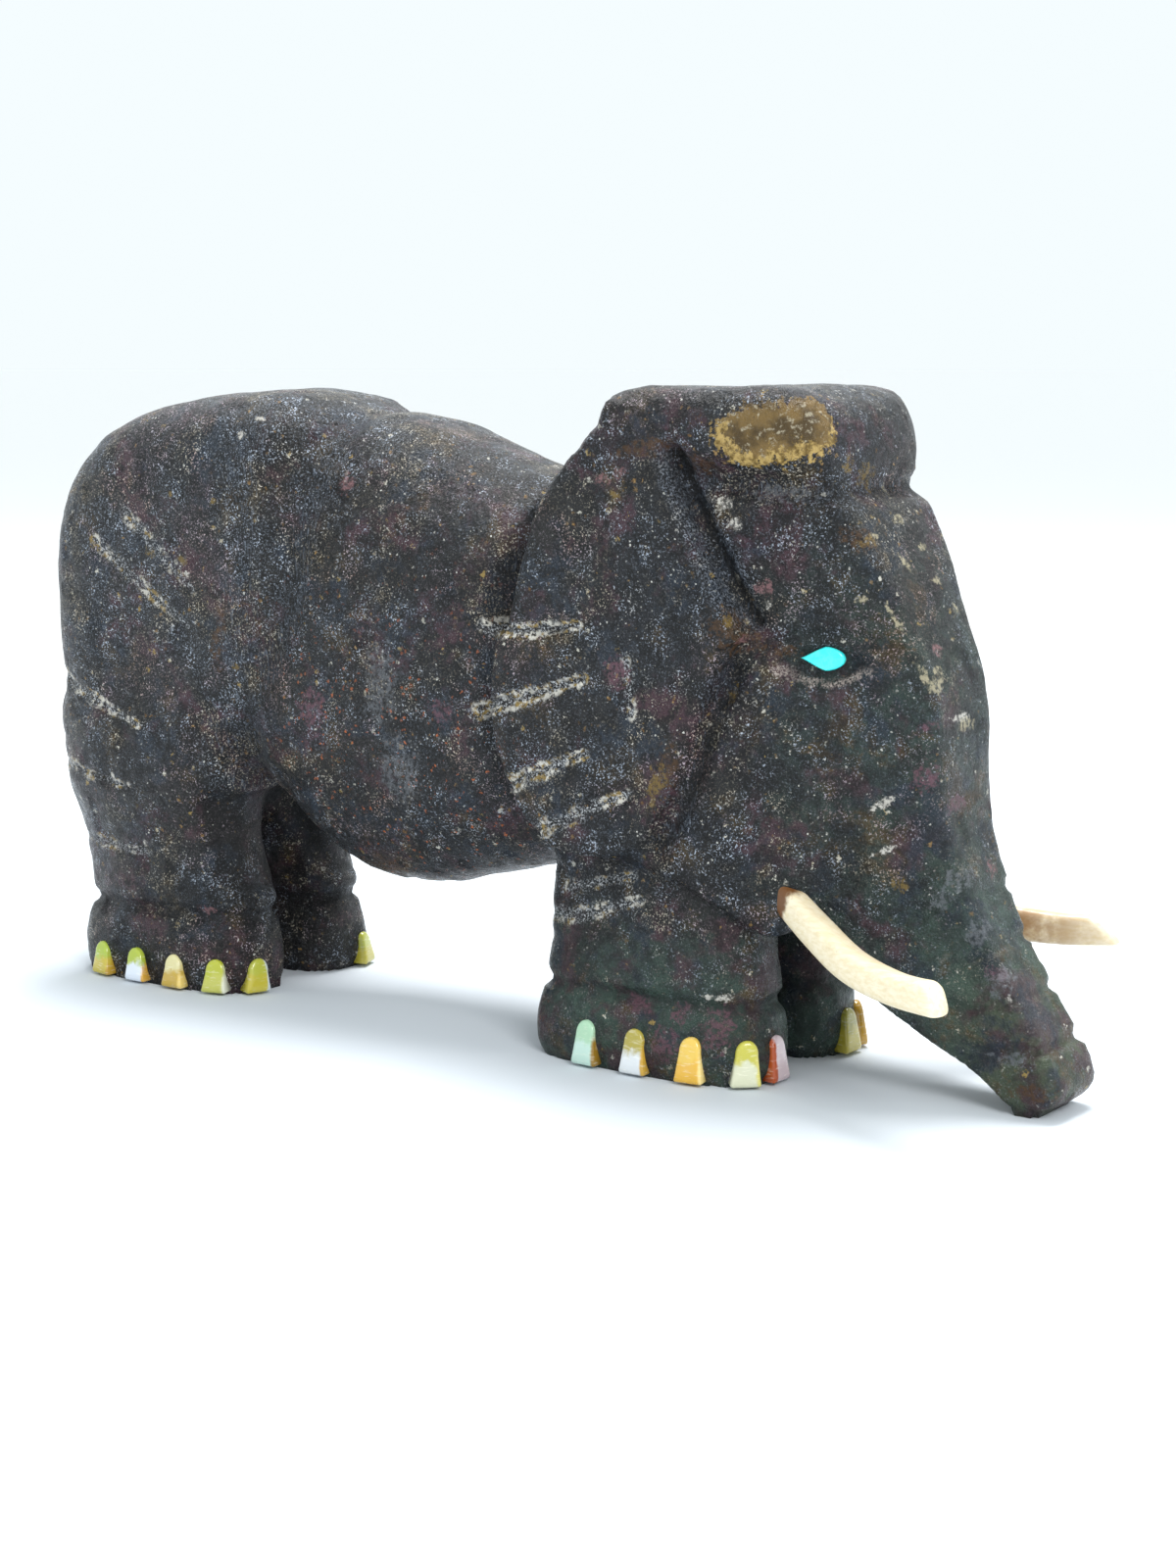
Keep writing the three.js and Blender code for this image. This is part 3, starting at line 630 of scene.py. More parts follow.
def colour(code):
    """A screen colour as the light that it stands for."""
    channels = [int(code[i:i + 2], 16) / 255 for i in (0, 2, 4)]
    return (*[c / 12.92 if c <= 0.04045 else ((c + 0.055) / 1.055) ** 2.4 for c in channels], 1.0)


# Crumbs of another mineral: ragged grains of many sizes, with only a share of the places taken
crumbs = effect("crumbs", {"Place": (0, 0, 0), "Per mm": 1.0, "Size": 0.3, "Share": 0.5, "Ragged": 0.3},
                "Mask")
wobble = crumbs.put("ShaderNodeTexNoise", {"Vector": crumbs.given["Place"], "Scale": 2.6, "Detail": 2.0})
offset = crumbs.vector("SUBTRACT", wobble.outputs["Color"], (0.5, 0.5, 0.5))
offset = crumbs.put("ShaderNodeVectorMath", {0: offset, "Scale": crumbs.given["Ragged"]},
                    operation="SCALE").outputs[0]
shaken = crumbs.vector("ADD", crumbs.given["Place"], offset)
cells = crumbs.put("ShaderNodeTexVoronoi", {"Vector": shaken, "Scale": crumbs.given["Per mm"]})
dice = crumbs.put("ShaderNodeSeparateColor", (cells.outputs["Color"],)).outputs
taken = crumbs.math("LESS_THAN", dice[0], crumbs.given["Share"])
reach = crumbs.math("MULTIPLY", crumbs.given["Size"], crumbs.math("ADD", 0.35, dice[1]))
inside = crumbs.between(crumbs.math("SUBTRACT", reach, cells.outputs["Distance"]), 0.0, 0.10)
grains = crumbs.math("MULTIPLY", inside, taken)
crumbs.send(crumbs.math("MULTIPLY", grains, crumbs.math("ADD", 0.3, dice[2])), crumbs.result)

# A patch of mineral at one place: an ellipsoid with a ragged edge
patch = effect("mineral patch", {
    "Place": (0, 0, 0), "Centre": (0, 0, 0), "Half size": (1, 1, 1),
    "Tilt": 0.0, "Ragged": 0.5, "Noise": 0.5}, "Nearness")
local = patch.vector("SUBTRACT", patch.given["Place"], patch.given["Centre"])
local = patch.put("ShaderNodeVectorRotate", {"Vector": local, "Angle": patch.given["Tilt"]},
                  rotation_type="Y_AXIS").outputs[0]
distance = patch.vector("LENGTH", patch.vector("DIVIDE", local, patch.given["Half size"]))
uneven = patch.math("MULTIPLY", patch.math("SUBTRACT", patch.given["Noise"], 0.5), patch.given["Ragged"])
patch.send(patch.math("ADD", patch.math("SUBTRACT", 1.0, distance), uneven), patch.result)

# How far a place is from a straight cut, in mm, seen from the side and the same on both sides; a cut
# narrows towards its end
cut = effect("straight cut", {
    "Place": (0, 0, 0), "Start": (0, 0, 0), "Course": (1, 0, 0), "Narrowing": 0.6}, "Distance")
local = cut.vector("SUBTRACT", cut.given["Place"], cut.given["Start"])
run = cut.math("DIVIDE", cut.vector("DOT_PRODUCT", local, cut.given["Course"]),
               cut.vector("DOT_PRODUCT", cut.given["Course"], cut.given["Course"]))
run = cut.put("ShaderNodeClamp", (run,)).outputs[0]
nearest = cut.put("ShaderNodeVectorMath", {0: cut.given["Course"], "Scale": run},
                  operation="SCALE").outputs[0]
away = cut.vector("LENGTH", cut.vector("SUBTRACT", local, nearest))
widening = cut.math("ADD", 1.0, cut.math("MULTIPLY", cut.given["Narrowing"], run))
cut.send(cut.math("MULTIPLY", away, widening), cut.result)

rock = material("satin dark stone")
broad = rock.noise(rock.mm, 0.05, 3.0)
middle = rock.noise(rock.mm, 0.24, 4.0, 0.6)
fine = rock.noise(rock.mm, 1.5, 5.0, 0.68)
grit = rock.noise(rock.mm, 3.8, 3.0, 0.75)
mottle = rock.noise(rock.mm, 0.62, 5.0, 0.72)
shade = rock.noise(rock.mm, 0.16, 3.0, 0.6)

# The ground: black and grey-brown mottled at every size, green where the stone is thin, with plum,
# blue and olive casts here and there. The green stone is calmer, with fewer dark spots and less dust.
base = rock.mix(rock.between(broad, 0.38, 0.62), colour("14161a"), colour("1b1a19"))
for where, tint in (("green", "33453d"), ("thin", "434a38")):
    tinted = rock.math("MULTIPLY", rock.mark(where), rock.between(middle, 0.30, 0.62, 0.4, 0.95))
    base = rock.mix(tinted, base, colour(tint))
plum_cast = rock.between(rock.noise(rock.mm, 0.11, 4.0, 0.65), 0.50, 0.62, 0.0, 0.8)
base = rock.mix(plum_cast, base, colour("3d262e"))
blue_cast = rock.between(rock.noise(rock.mm, 0.135, 4.0, 0.65), 0.50, 0.62, 0.0, 0.8)
base = rock.mix(blue_cast, base, colour("1c2530"))
olive = rock.between(rock.noise(rock.mm, 0.15, 5.0, 0.7), 0.52, 0.66, 0.0, 0.85)
base = rock.mix(rock.math("MULTIPLY", olive, rock.between(mottle, 0.36, 0.56)), base, colour("4a3a1a"))
calm = rock.math("SUBTRACT", 1.0, rock.math("MULTIPLY", rock.mark("green"), 0.65))
spotted = rock.math("MULTIPLY", rock.between(mottle, 0.46, 0.58, 0.0, 0.85), calm)
base = rock.mix(spotted, base, colour("060607"))
shaded = rock.math("MULTIPLY", rock.between(shade, 0.50, 0.62, 0.0, 0.75), calm)
base = rock.mix(shaded, base, colour("08080a"))

# Pale dust all through the stone, thicker in clouds and where it is scuffed, and in streaks there, with
# crumbs of white, tan and orange among it. On the back's top and the thigh's front that extra dust and those
# streaks are also painted sheen.
scuff = rock.math("MULTIPLY", rock.mark("scuffed"), rock.between(middle, 0.3, 0.55, 0.4, 1.0))
cloudy = rock.between(rock.noise(rock.mm, 0.30, 5.0, 0.72), 0.48, 0.60)
dust_clouds = rock.math("ADD", rock.math("MULTIPLY", cloudy, 0.72), rock.math("MULTIPLY", scuff, 0.50))
dust = rock.math("MULTIPLY", rock.between(grit, 0.54, 0.66), rock.math("ADD", dust_clouds, 0.13))
dust = rock.math("MULTIPLY", dust, calm)
warm_dust = rock.between(rock.noise(rock.mm, 0.12, 3.0, 0.6), 0.48, 0.60)
dust_tint = rock.mix(warm_dust, colour("bac5d5"), colour("cdc3b0"))
rosy_dust = rock.between(rock.noise(rock.mm, 0.095, 3.0, 0.6), 0.52, 0.60, 0.0, 0.55)
dust_tint = rock.mix(rosy_dust, dust_tint, colour("c79fa2"))
base = rock.mix(dust, base, dust_tint)
# Pale streaks where it is scuffed; on the back's top and the thigh's front they are also painted sheen
stretched = rock.put("ShaderNodeMapping", {
    "Vector": rock.mm, "Rotation": (0, math.radians(-12), 0), "Scale": (2.6, 1.4, 0.34)})
marks = rock.between(rock.noise(stretched.outputs[0], 1.5, 5.0, 0.75), 0.52, 0.66)
marks = rock.math("MULTIPLY", marks, rock.between(rock.mark("scuffed"), 0.45, 0.95))
base = rock.mix(rock.math("MULTIPLY", rock.math("MULTIPLY", marks, scuff), 0.75), base, colour("8b95a4"))
small = rock.group(crumbs.tree, Place=rock.mm, Per_mm=1.9, Size=0.24, Share=0.40, Ragged=0.45)
small = rock.math("MULTIPLY", small, rock.between(calm, 0.3, 1.0, 0.5, 1.0))
small = rock.math("MULTIPLY", small, rock.between(mottle, 0.58, 0.44, 0.05, 0.85))
base = rock.mix(small, base, colour("bab9b2"))
tan = rock.group(crumbs.tree, Place=rock.mm, Per_mm=1.1, Size=0.30, Share=0.40, Ragged=0.9)
tan_clouds = rock.between(rock.noise(rock.mm, 0.21, 4.0, 0.7), 0.50, 0.60)
tan_tint = rock.mix(rock.between(fine, 0.42, 0.58), colour("5a3f1d"), colour("94774a"))
tan_clouds = rock.math("MULTIPLY", tan_clouds, rock.math("MULTIPLY", calm, 0.8))
base = rock.mix(rock.math("MULTIPLY", tan, tan_clouds), base, tan_tint)
large = rock.group(crumbs.tree, Place=rock.mm, Per_mm=0.70, Size=0.24, Share=0.22, Ragged=1.3)
either = rock.between(rock.noise(rock.mm, 0.31, 1.0), 0.44, 0.56)
tint = rock.mix(either, colour("85703f"), colour("b8b5aa"))
base = rock.mix(rock.math("MULTIPLY", large, rock.between(fine, 0.42, 0.54)), base, tint)
orange = rock.group(crumbs.tree, Place=rock.mm, Per_mm=1.5, Size=0.29, Share=0.36, Ragged=0.9)
base = rock.mix(rock.math("MULTIPLY", orange, rock.mark("belly")), base, colour("9c5530"))

# Cuts seen from the side, alike on both sides, with ragged edges. They fade towards the middle of the
# carving, between these two distances in mm, where the stone no longer faces sideways.
FACES_SIDEWAYS = (7.0, 13.0)
# How strongly each kind of edge wanders
CUT_RAGGED, GROOVE_RAGGED, PATCH_RAGGED, GOLD_RAGGED = 3.4, 0.9, 3.8, 1.9
parts = rock.put("ShaderNodeSeparateXYZ", (rock.mm,)).outputs
folded = rock.put("ShaderNodeCombineXYZ", (parts[0], None, parts[2])).outputs[0]
on_side = rock.between(rock.math("ABSOLUTE", parts[1]), *FACES_SIDEWAYS, 0.1, 1.0)
crumble = rock.noise(rock.mm, 0.60, 5.0, 0.75)
gaps = rock.noise(rock.mm, 0.30, 2.0)


def nearest_cut(courses, ragged):
    """The distance in mm from the nearest of these lines, which narrow towards their ends."""
    near = None
    for course in courses:
        ends = [in_metres(cx, 0, cz) / MM for cx, cz in course]
        for start, end in zip(ends[:-1], ends[1:]):
            here = rock.group(cut.tree, Place=folded, Start=tuple(start), Course=tuple(end - start),
                              Narrowing=0.7 if end is ends[-1] else 0.0)
            near = here if near is None else rock.math("MINIMUM", near, here)
    return rock.math("ADD", near, rock.math("MULTIPLY", rock.math("SUBTRACT", crumble, 0.5), ragged))


# The ear's front groove gets a crisp dark line of painted shade, and is rubbed pale in front of it
groove = nearest_cut([CUTS[2][3]], GROOVE_RAGGED)
base = rock.mix(rock.between(groove, 0.70, 0.20, 0.0, 0.70), base, colour("070708"))
rubbed = rock.math("MULTIPLY", rock.between(groove, 0.7, 1.1), rock.between(groove, 3.0, 1.2))
rubbed = rock.math("MULTIPLY", rubbed, rock.between(grit, 0.46, 0.60, 0.0, 0.6))
base = rock.mix(rubbed, base, colour("6d737d"))
# The lower groove before the ear gets a softer line of painted shade
lower_groove = nearest_cut([CUTS[3][3]], GROOVE_RAGGED)
base = rock.mix(rock.between(lower_groove, 0.9, 0.3, 0.0, 0.6), base, colour("090909"))

# Where the wheel broke the stone, the small cuts have floors darkened with painted shade, with streaks of
# fine dust, between lips of cream and tan crumbs; the creases of the legs and the scratches on the rump show
# fainter
for low, high, strength in ((0.75, 1.1, 1.0), (0.25, 0.75, 0.5)):
    courses = [course for _, _, paleness, course in CUTS + SCRATCHES if low < paleness <= high]
    near = nearest_cut(courses, CUT_RAGGED)
    # Painted shade on the floor of each cut
    cut_shade_share = rock.math("MULTIPLY", rock.between(near, 0.75, 0.35, 0.0, 0.65 * strength), on_side)
    base = rock.mix(cut_shade_share, base, colour("0d0d10"))
    specks = rock.math("MULTIPLY", rock.between(near, 1.3, 0.2),
                       rock.between(grit, 0.50, 0.62, 0.0, 0.4 + 0.6 * strength))
    base = rock.mix(rock.math("MULTIPLY", specks, on_side), base, colour("bcbfc2"))
    lips = rock.math("MULTIPLY", rock.between(near, 0.25, 0.50), rock.between(near, 1.45, 0.95))
    lips = rock.math("MULTIPLY", lips, rock.between(gaps, 0.46 + 0.06 * (1 - strength), 0.58))
    lips = rock.math("MULTIPLY", lips, rock.between(fine, 0.42, 0.52, 0.0, 0.5 + 0.5 * strength))
    either = rock.between(rock.noise(rock.mm, 0.8, 2.0), 0.48, 0.58)
    bits = rock.mix(either, colour("c6c2b8"), colour("8a7440"))
    base = rock.mix(rock.math("MULTIPLY", lips, on_side), base, bits)

# Crumbs along the lower eyelid, and painted shade darkening the floors of the cuts, grooves, sockets and
# hollows
eye_place = tuple(in_metres(EYE_X, 0, EYE_Z) / MM)
lid = rock.group(patch.tree, Place=folded, Centre=eye_place, Half_size=(5.2, 99.0, 2.9), Ragged=1.0,
                 Noise=crumble)
lid = rock.math("MULTIPLY", rock.between(lid, -0.22, -0.02), rock.between(lid, 0.24, 0.06))
eye_floor = EYE_Z * HEIGHT / MM
lid = rock.math("MULTIPLY", lid, rock.between(parts[2], eye_floor - 0.4, eye_floor - 1.6))
lid = rock.math("MULTIPLY", lid, rock.between(grit, 0.40, 0.58))
lid = rock.math("MULTIPLY", lid, rock.between(gaps, 0.36, 0.50, 0.3, 0.9))
base = rock.mix(lid, base, colour("9c9089"))
base = rock.mix(rock.math("MULTIPLY", rock.mark("hollow"), 0.48), base, colour("0b0b0c"))

# Patches of other minerals: place in shares of the height, half sizes in mm along and up, tilt in degrees
PATCHES = {
    "rust": ("46301a", 0.75, [
        (1.10, -0.20, 0.922, 4.5, 1.2, -12), (1.18, -0.18, 0.900, 3.0, 1.3, -8),
        (1.235, -0.18, 0.660, 4.0, 2.6, 30), (1.30, -0.15, 0.640, 3.2, 0.9, 0),
        (1.40, -0.11, 0.800, 2.6, 1.4, 15), (1.14, -0.20, 0.470, 1.8, 4.2, 15),
        (0.53, -0.12, 0.24, 6.0, 2.0, 0), (0.26, -0.2, 0.60, 1.2, 5.0, 10),
        (1.66, -0.06, 0.04, 3.0, 1.2, 0)]),
    "plum": ("5f414b", 0.75, [
        (0.704, -0.19, 0.513, 2.3, 1.7, 5), (1.498, -0.086, 0.469, 1.8, 1.9, 0),
        (1.494, -0.086, 0.540, 1.8, 0.9, -15), (1.516, -0.03, 0.430, 2.6, 1.1, -25),
        (1.075, -0.18, 0.105, 2.0, 1.4, 20), (1.15, -0.18, 0.100, 1.5, 1.9, 0),
        (1.21, -0.18, 0.085, 2.3, 3.4, 0), (1.13, -0.19, 0.055, 2.4, 2.2, 0),
        (1.050, -0.21, 0.60, 1.9, 2.4, -20), (1.60, -0.06, 0.20, 1.6, 0.9, 30),
        (0.45, -0.19, 0.50, 2.4, 3.4, 0), (0.30, -0.2, 0.47, 2.0, 2.0, 0)]),
    "pink": ("7c5a5c", 0.75, [
        (1.056, -0.21, 0.886, 1.2, 1.3, 20), (1.025, -0.21, 0.876, 1.3, 0.9, 0),
        (1.270, -0.156, 0.729, 1.3, 1.1, 30), (0.499, -0.162, 0.857, 1.7, 1.5, 0),
        (1.545, 0.022, 0.331, 1.2, 1.4, 0), (1.482, -0.033, 0.645, 1.0, 1.1, 0),
        (1.247, -0.17, 0.652, 1.1, 0.7, 40), (0.190, -0.173, 0.139, 1.7, 0.8, 0)]),
    "ochre": ("6e5a2c", 0.80, [
        (1.364, -0.082, 0.902, 1.5, 1.2, 10), (1.362, -0.035, 0.882, 1.3, 1.8, 0),
        (1.049, -0.209, 0.857, 1.3, 0.8, -30), (1.236, -0.19, 0.681, 1.1, 1.0, 0),
        (1.223, -0.161, 0.577, 0.9, 1.6, 20), (1.409, -0.103, 0.798, 1.5, 0.8, -20),
        (0.179, -0.208, 0.724, 1.0, 0.8, 35), (0.109, -0.207, 0.734, 1.5, 0.8, 35),
        (0.289, -0.198, 0.557, 0.7, 0.8, 0), (1.464, -0.100, 0.319, 1.1, 1.3, 0),
        (1.12, -0.206, 0.44, 1.4, 3.2, 20), (0.159, -0.206, 0.831, 0.6, 0.7, 0)]),
    "white": ("bab6ae", 0.95, [
        (1.211, -0.173, 0.847, 1.3, 1.2, 20), (1.230, -0.168, 0.818, 0.9, 0.9, 0),
        (0.010, -0.205, 0.730, 1.0, 0.7, 0), (0.188, -0.208, 0.702, 1.1, 0.6, 40),
        (1.439, -0.108, 0.432, 2.0, 0.6, -25), (1.446, -0.106, 0.366, 1.8, 0.5, -25),
        (1.508, -0.010, 0.548, 1.8, 0.6, -20), (1.617, -0.061, 0.165, 0.5, 0.6, 0),
        (0.306, -0.190, 0.930, 0.8, 0.7, 0), (0.330, -0.174, 0.954, 0.9, 0.4, 0),
        (0.014, -0.215, 0.355, 0.8, 0.6, 0), (0.054, -0.215, 0.345, 0.8, 0.7, 0),
        (1.275, -0.155, 0.705, 0.5, 0.6, 0), (0.070, -0.195, 0.242, 0.4, 1.1, 30),
        (1.209, -0.172, 0.132, 2.6, 0.5, 0)]),
    "cream": ("a39a80", 0.80, [
        (1.402, -0.008, 0.822, 1.3, 0.5, 18), (1.432, -0.035, 0.766, 0.7, 1.2, -40),
        (1.424, 0.022, 0.781, 1, 0.4, 20), (1.363, 0.023, 0.864, 0.8, 0.7, 0),
        (1.445, 0.022, 0.736, 1.2, 0.5, 15), (1.463, 0.051, 0.693, 0.7, 1, 0),
        (1.404, -0.118, 0.716, 0.8, 0.6, 0), (1.509, 0.000, 0.536, 2, 0.7, 35),
        (1.492, -0.050, 0.617, 1.6, 0.5, 12), (1.410, -0.083, 0.806, 1, 0.6, -20),
        (1.447, -0.100, 0.693, 0.35, 2.2, -30), (1.496, -0.079, 0.598, 0.5, 3.2, -30)]),
    "grey": ("62656a", 0.62, [
        (1.534, -0.077, 0.320, 1.5, 4.2, 30), (1.570, -0.065, 0.258, 1.5, 2.6, 30),
        (1.610, -0.062, 0.196, 1.6, 3.2, 35), (0.591, -0.194, 0.555, 3.0, 6.0, 0),
        (0.620, -0.184, 0.412, 3.5, 5.0, 0), (1.628, -0.069, 0.085, 3.0, 0.8, 0),
        (1.300, -0.155, 0.86, 5.0, 1.1, 0)]),
}
raggedness = rock.noise(rock.mm, 0.9, 5.0, 0.75)


def patches_of(rows, ragged):
    """The nearness of the nearest of these patches: above 0 inside one."""
    nearest = None
    for x, y, z, along, up, tilt in rows:
        centre = tuple(in_metres(x, y, z) / MM)
        near = rock.group(patch.tree, Place=rock.mm, Centre=centre, Half_size=(along, max(along, up), up),
                          Tilt=math.radians(-tilt), Ragged=ragged, Noise=raggedness)
        nearest = near if nearest is None else rock.math("MAXIMUM", nearest, near)
    return nearest


for code, strength, rows in PATCHES.values():
    share = rock.between(patches_of(rows, PATCH_RAGGED), 0.0, 0.45, 0.0, strength)
    share = rock.math("MULTIPLY", share, rock.between(fine, 0.42, 0.56, 0.10, 1.0))
    base = rock.mix(share, base, colour(code))

# One large patch on the cap: clear brown quartz, with a rim of gold that is paler and thicker below
gold = patches_of([(1.262, -0.188, 0.936, 4.6, 3.0, 8), (1.300, -0.172, 0.946, 5.6, 3.6, 12),
                   (1.338, -0.150, 0.955, 3.9, 3.7, 20)], GOLD_RAGGED)
grain = rock.noise(rock.mm, 1.1, 6.0, 0.7)
swirl = rock.noise(rock.mm, 0.36, 3.0, 0.5)
rim = rock.mix(rock.between(grain, 0.38, 0.60), colour("5c4719"), colour("a98f56"))
clear = rock.mix(rock.between(swirl, 0.40, 0.62), colour("43341a"), colour("6d5730"))
clear = rock.mix(rock.between(grain, 0.55, 0.64, 0.0, 0.75), clear, colour("a39a84"))
stirred = rock.math("MULTIPLY", rock.math("SUBTRACT", swirl, 0.5), 0.9)
above = rock.math("MULTIPLY", rock.math("SUBTRACT", parts[2], 0.943 * HEIGHT / MM), 0.10)
inward = rock.math("ADD", rock.math("ADD", rock.math("SUBTRACT", gold, 0.24), stirred), above)
base = rock.mix(rock.between(gold, 0.0, 0.05), base, rock.mix(rock.between(inward, 0.0, 0.16), rim, clear))

rock.send(base, rock.surface["Base Color"])
rough = rock.math("ADD", rock.between(mottle, 0.4, 0.6, 0.22, 0.38), rock.math("MULTIPLY", dust, 0.25))
rough = rock.math("ADD", rough, rock.math("MULTIPLY", rock.mark("hollow"), 0.15))
rock.send(rough, rock.surface["Roughness"])
height = rock.math("ADD", rock.math("MULTIPLY", fine, 0.8), rock.math("MULTIPLY", grit, 0.25))
height = rock.math("ADD", height, rock.math("MULTIPLY", rock.math("MULTIPLY", marks, scuff), 0.35))
height = rock.math("ADD", height, rock.math("MULTIPLY", mottle, 0.8))
bump = rock.put("ShaderNodeBump", {"Height": height, "Strength": 0.9, "Distance": 0.0005})
rock.send(bump.outputs[0], rock.surface["Normal"])
rock.surface["Specular IOR Level"].default_value = 0.26
stone.data.materials.append(rock.made)
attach(stone, "root")
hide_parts("body")


# The tusks. Each is a strip sawn from bone, filed smooth with soft edges and bent outwards, pushed into
# a hole in the cheek and glued there; its free end is cut off at a slant.
TUSK_COURSE = [
    [1.318, 0.146, 0.278], [1.375, 0.172, 0.250], [1.450, 0.206, 0.219], [1.540, 0.244, 0.206],
    [1.632, 0.280, 0.208],
]
TUSK_WIDTH, TUSK_THICKNESS, TUSK_SEAT = 4.2 * MM, 3.2 * MM, 4.5 * MM
TUSK_RINGS, TUSK_SIDES = 60, 28
TUSK_ROUND = 0.6                                # 1 makes its section an ellipse, less makes it squarer
TUSK_SLANT = {"right": 0.40, "left": 0.95}      # how far the end leans back at its top, per width
TUSK_BROWN = {"right": 0.3, "left": 1.0}        # how browned the inner side is

bone = material("filed bone")
along = bone.mark("along")
grain = bone.put("ShaderNodeMapping", {
    "Vector": bone.mm, "Rotation": (0, math.radians(20), 0), "Scale": (0.25, 1.6, 1.6)})
fibres = bone.noise(grain.outputs[0], 1.4, 4.0, 0.6)
stain = bone.noise(bone.mm, 0.32, 4.0, 0.65)
ivory = bone.mix(bone.between(fibres, 0.35, 0.68), colour("f1e4c8"), colour("e6d5ae"))
ivory = bone.mix(bone.between(stain, 0.52, 0.75, 0.0, 0.22), ivory, colour("c4a772"))
browned = bone.math("MULTIPLY", bone.mark("rear"), bone.between(along, 1.10, 0.55, 0.15, 1.0))
ivory = bone.mix(bone.math("MULTIPLY", browned, bone.between(stain, 0.15, 0.60)), ivory, colour("8a6236"))
pores = bone.group(crumbs.tree, Place=bone.mm, Per_mm=1.7, Size=0.22, Share=0.18, Ragged=0.3)
ivory = bone.mix(bone.math("MULTIPLY", pores, 0.18), ivory, colour("94754a"))
glue = bone.math("ADD", along, bone.math("MULTIPLY", bone.math("SUBTRACT", stain, 0.5), 0.10))
ivory = bone.mix(bone.between(glue, 0.158, 0.128), ivory, colour("6b4420"))
bone.send(ivory, bone.surface["Base Color"])
bone.send(bone.between(fibres, 0.3, 0.7, 0.30, 0.46), bone.surface["Roughness"])
bone_height = bone.math("SUBTRACT", fibres, pores)
bone_bump = bone.put("ShaderNodeBump", {"Height": bone_height, "Strength": 0.10, "Distance": 0.0003})
bone.send(bone_bump.outputs[0], bone.surface["Normal"])

for hand, left in (("right", -1), ("left", 1)):
    course = np.array([in_metres(cx, left * cy, cz) for cx, cy, cz in TUSK_COURSE])
    inward = (course[0] - course[1]) / np.linalg.norm(course[0] - course[1])
    course = np.vstack([course[0] + inward * TUSK_SEAT, course])
    path = smooth_path(course, False, 400)
    walked = np.concatenate([[0], np.cumsum(np.linalg.norm(np.diff(path, axis=0), axis=1))])
    corners, share_along, share_rear = [], [], []
    for i in range(TUSK_RINGS + 1):
        share = i / TUSK_RINGS
        place, ahead, behind = (
            np.array([np.interp(spot * walked[-1], walked, path[:, k]) for k in range(3)])
            for spot in (share, min(share + 0.02, 1), max(share - 0.02, 0)))
        tangent = (ahead - behind) / np.linalg.norm(ahead - behind)
        across = np.cross([0, 0, 1], tangent)
        across /= np.linalg.norm(across)
        up = np.cross(tangent, across)
        waist = 0.94 + 0.06 * math.sin(math.pi * min(share * 1.25, 1))
        waist *= 1 + 0.02 * math.sin(9 * share + 2 * left)
        end = smooth((share - 0.975) / 0.025)
        for j in range(TUSK_SIDES):
            turn = 2 * math.pi * j / TUSK_SIDES
            cos, sin = math.cos(turn), math.sin(turn)
            u = math.copysign(abs(cos) ** TUSK_ROUND, cos) * TUSK_THICKNESS / 2 * waist * (1 - 0.16 * end)
            v = math.copysign(abs(sin) ** TUSK_ROUND, sin) * TUSK_WIDTH / 2 * waist * (1 - 0.16 * end)
            lean = -TUSK_SLANT[hand] * (v + TUSK_WIDTH / 2) * smooth((share - 0.86) / 0.14)
            corners.append(place + across * u + up * v + tangent * lean)
            share_along.append(share)
            inner = smooth(0.5 - left * (across[1] * u + up[1] * v) / TUSK_THICKNESS)
            share_rear.append(inner * TUSK_BROWN[hand])
    faces = []
    for i in range(TUSK_RINGS):
        for j in range(TUSK_SIDES):
            a, c = i * TUSK_SIDES + j, i * TUSK_SIDES + (j + 1) % TUSK_SIDES
            faces.append((a, c, c + TUSK_SIDES, a + TUSK_SIDES))
    for ring, turnover in ((0, True), (TUSK_RINGS, False)):
        rim = [ring * TUSK_SIDES + j for j in range(TUSK_SIDES)]
        middle_point = np.mean([corners[r] for r in rim], axis=0)
        corners.append(middle_point)
        share_along.append(ring / TUSK_RINGS)
        share_rear.append(0.2)
        hub = len(corners) - 1
        for j in range(TUSK_SIDES):
            pair = (rim[j], rim[(j + 1) % TUSK_SIDES])
            faces.append((hub, pair[1], pair[0]) if turnover else (hub, *pair))
    tusk = new_piece(f"bone_tusk_{hand}", corners, faces, along=share_along, rear=share_rear)
    tusk.data.materials.append(bone.made)
    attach(tusk, "root")
    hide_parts(f"tusk_{hand}")


# The eyes. Each is a teardrop of turquoise, ground to a low dome with its point towards the ear, and
# glued into the almond hollow under the brow.
EYE_LENGTH, EYE_HEIGHT, EYE_DEPTH, EYE_PROUD = 5.4 * MM, 2.9 * MM, 1.6 * MM, 0.4 * MM
EDGE_ROUND = 0.25 * MM


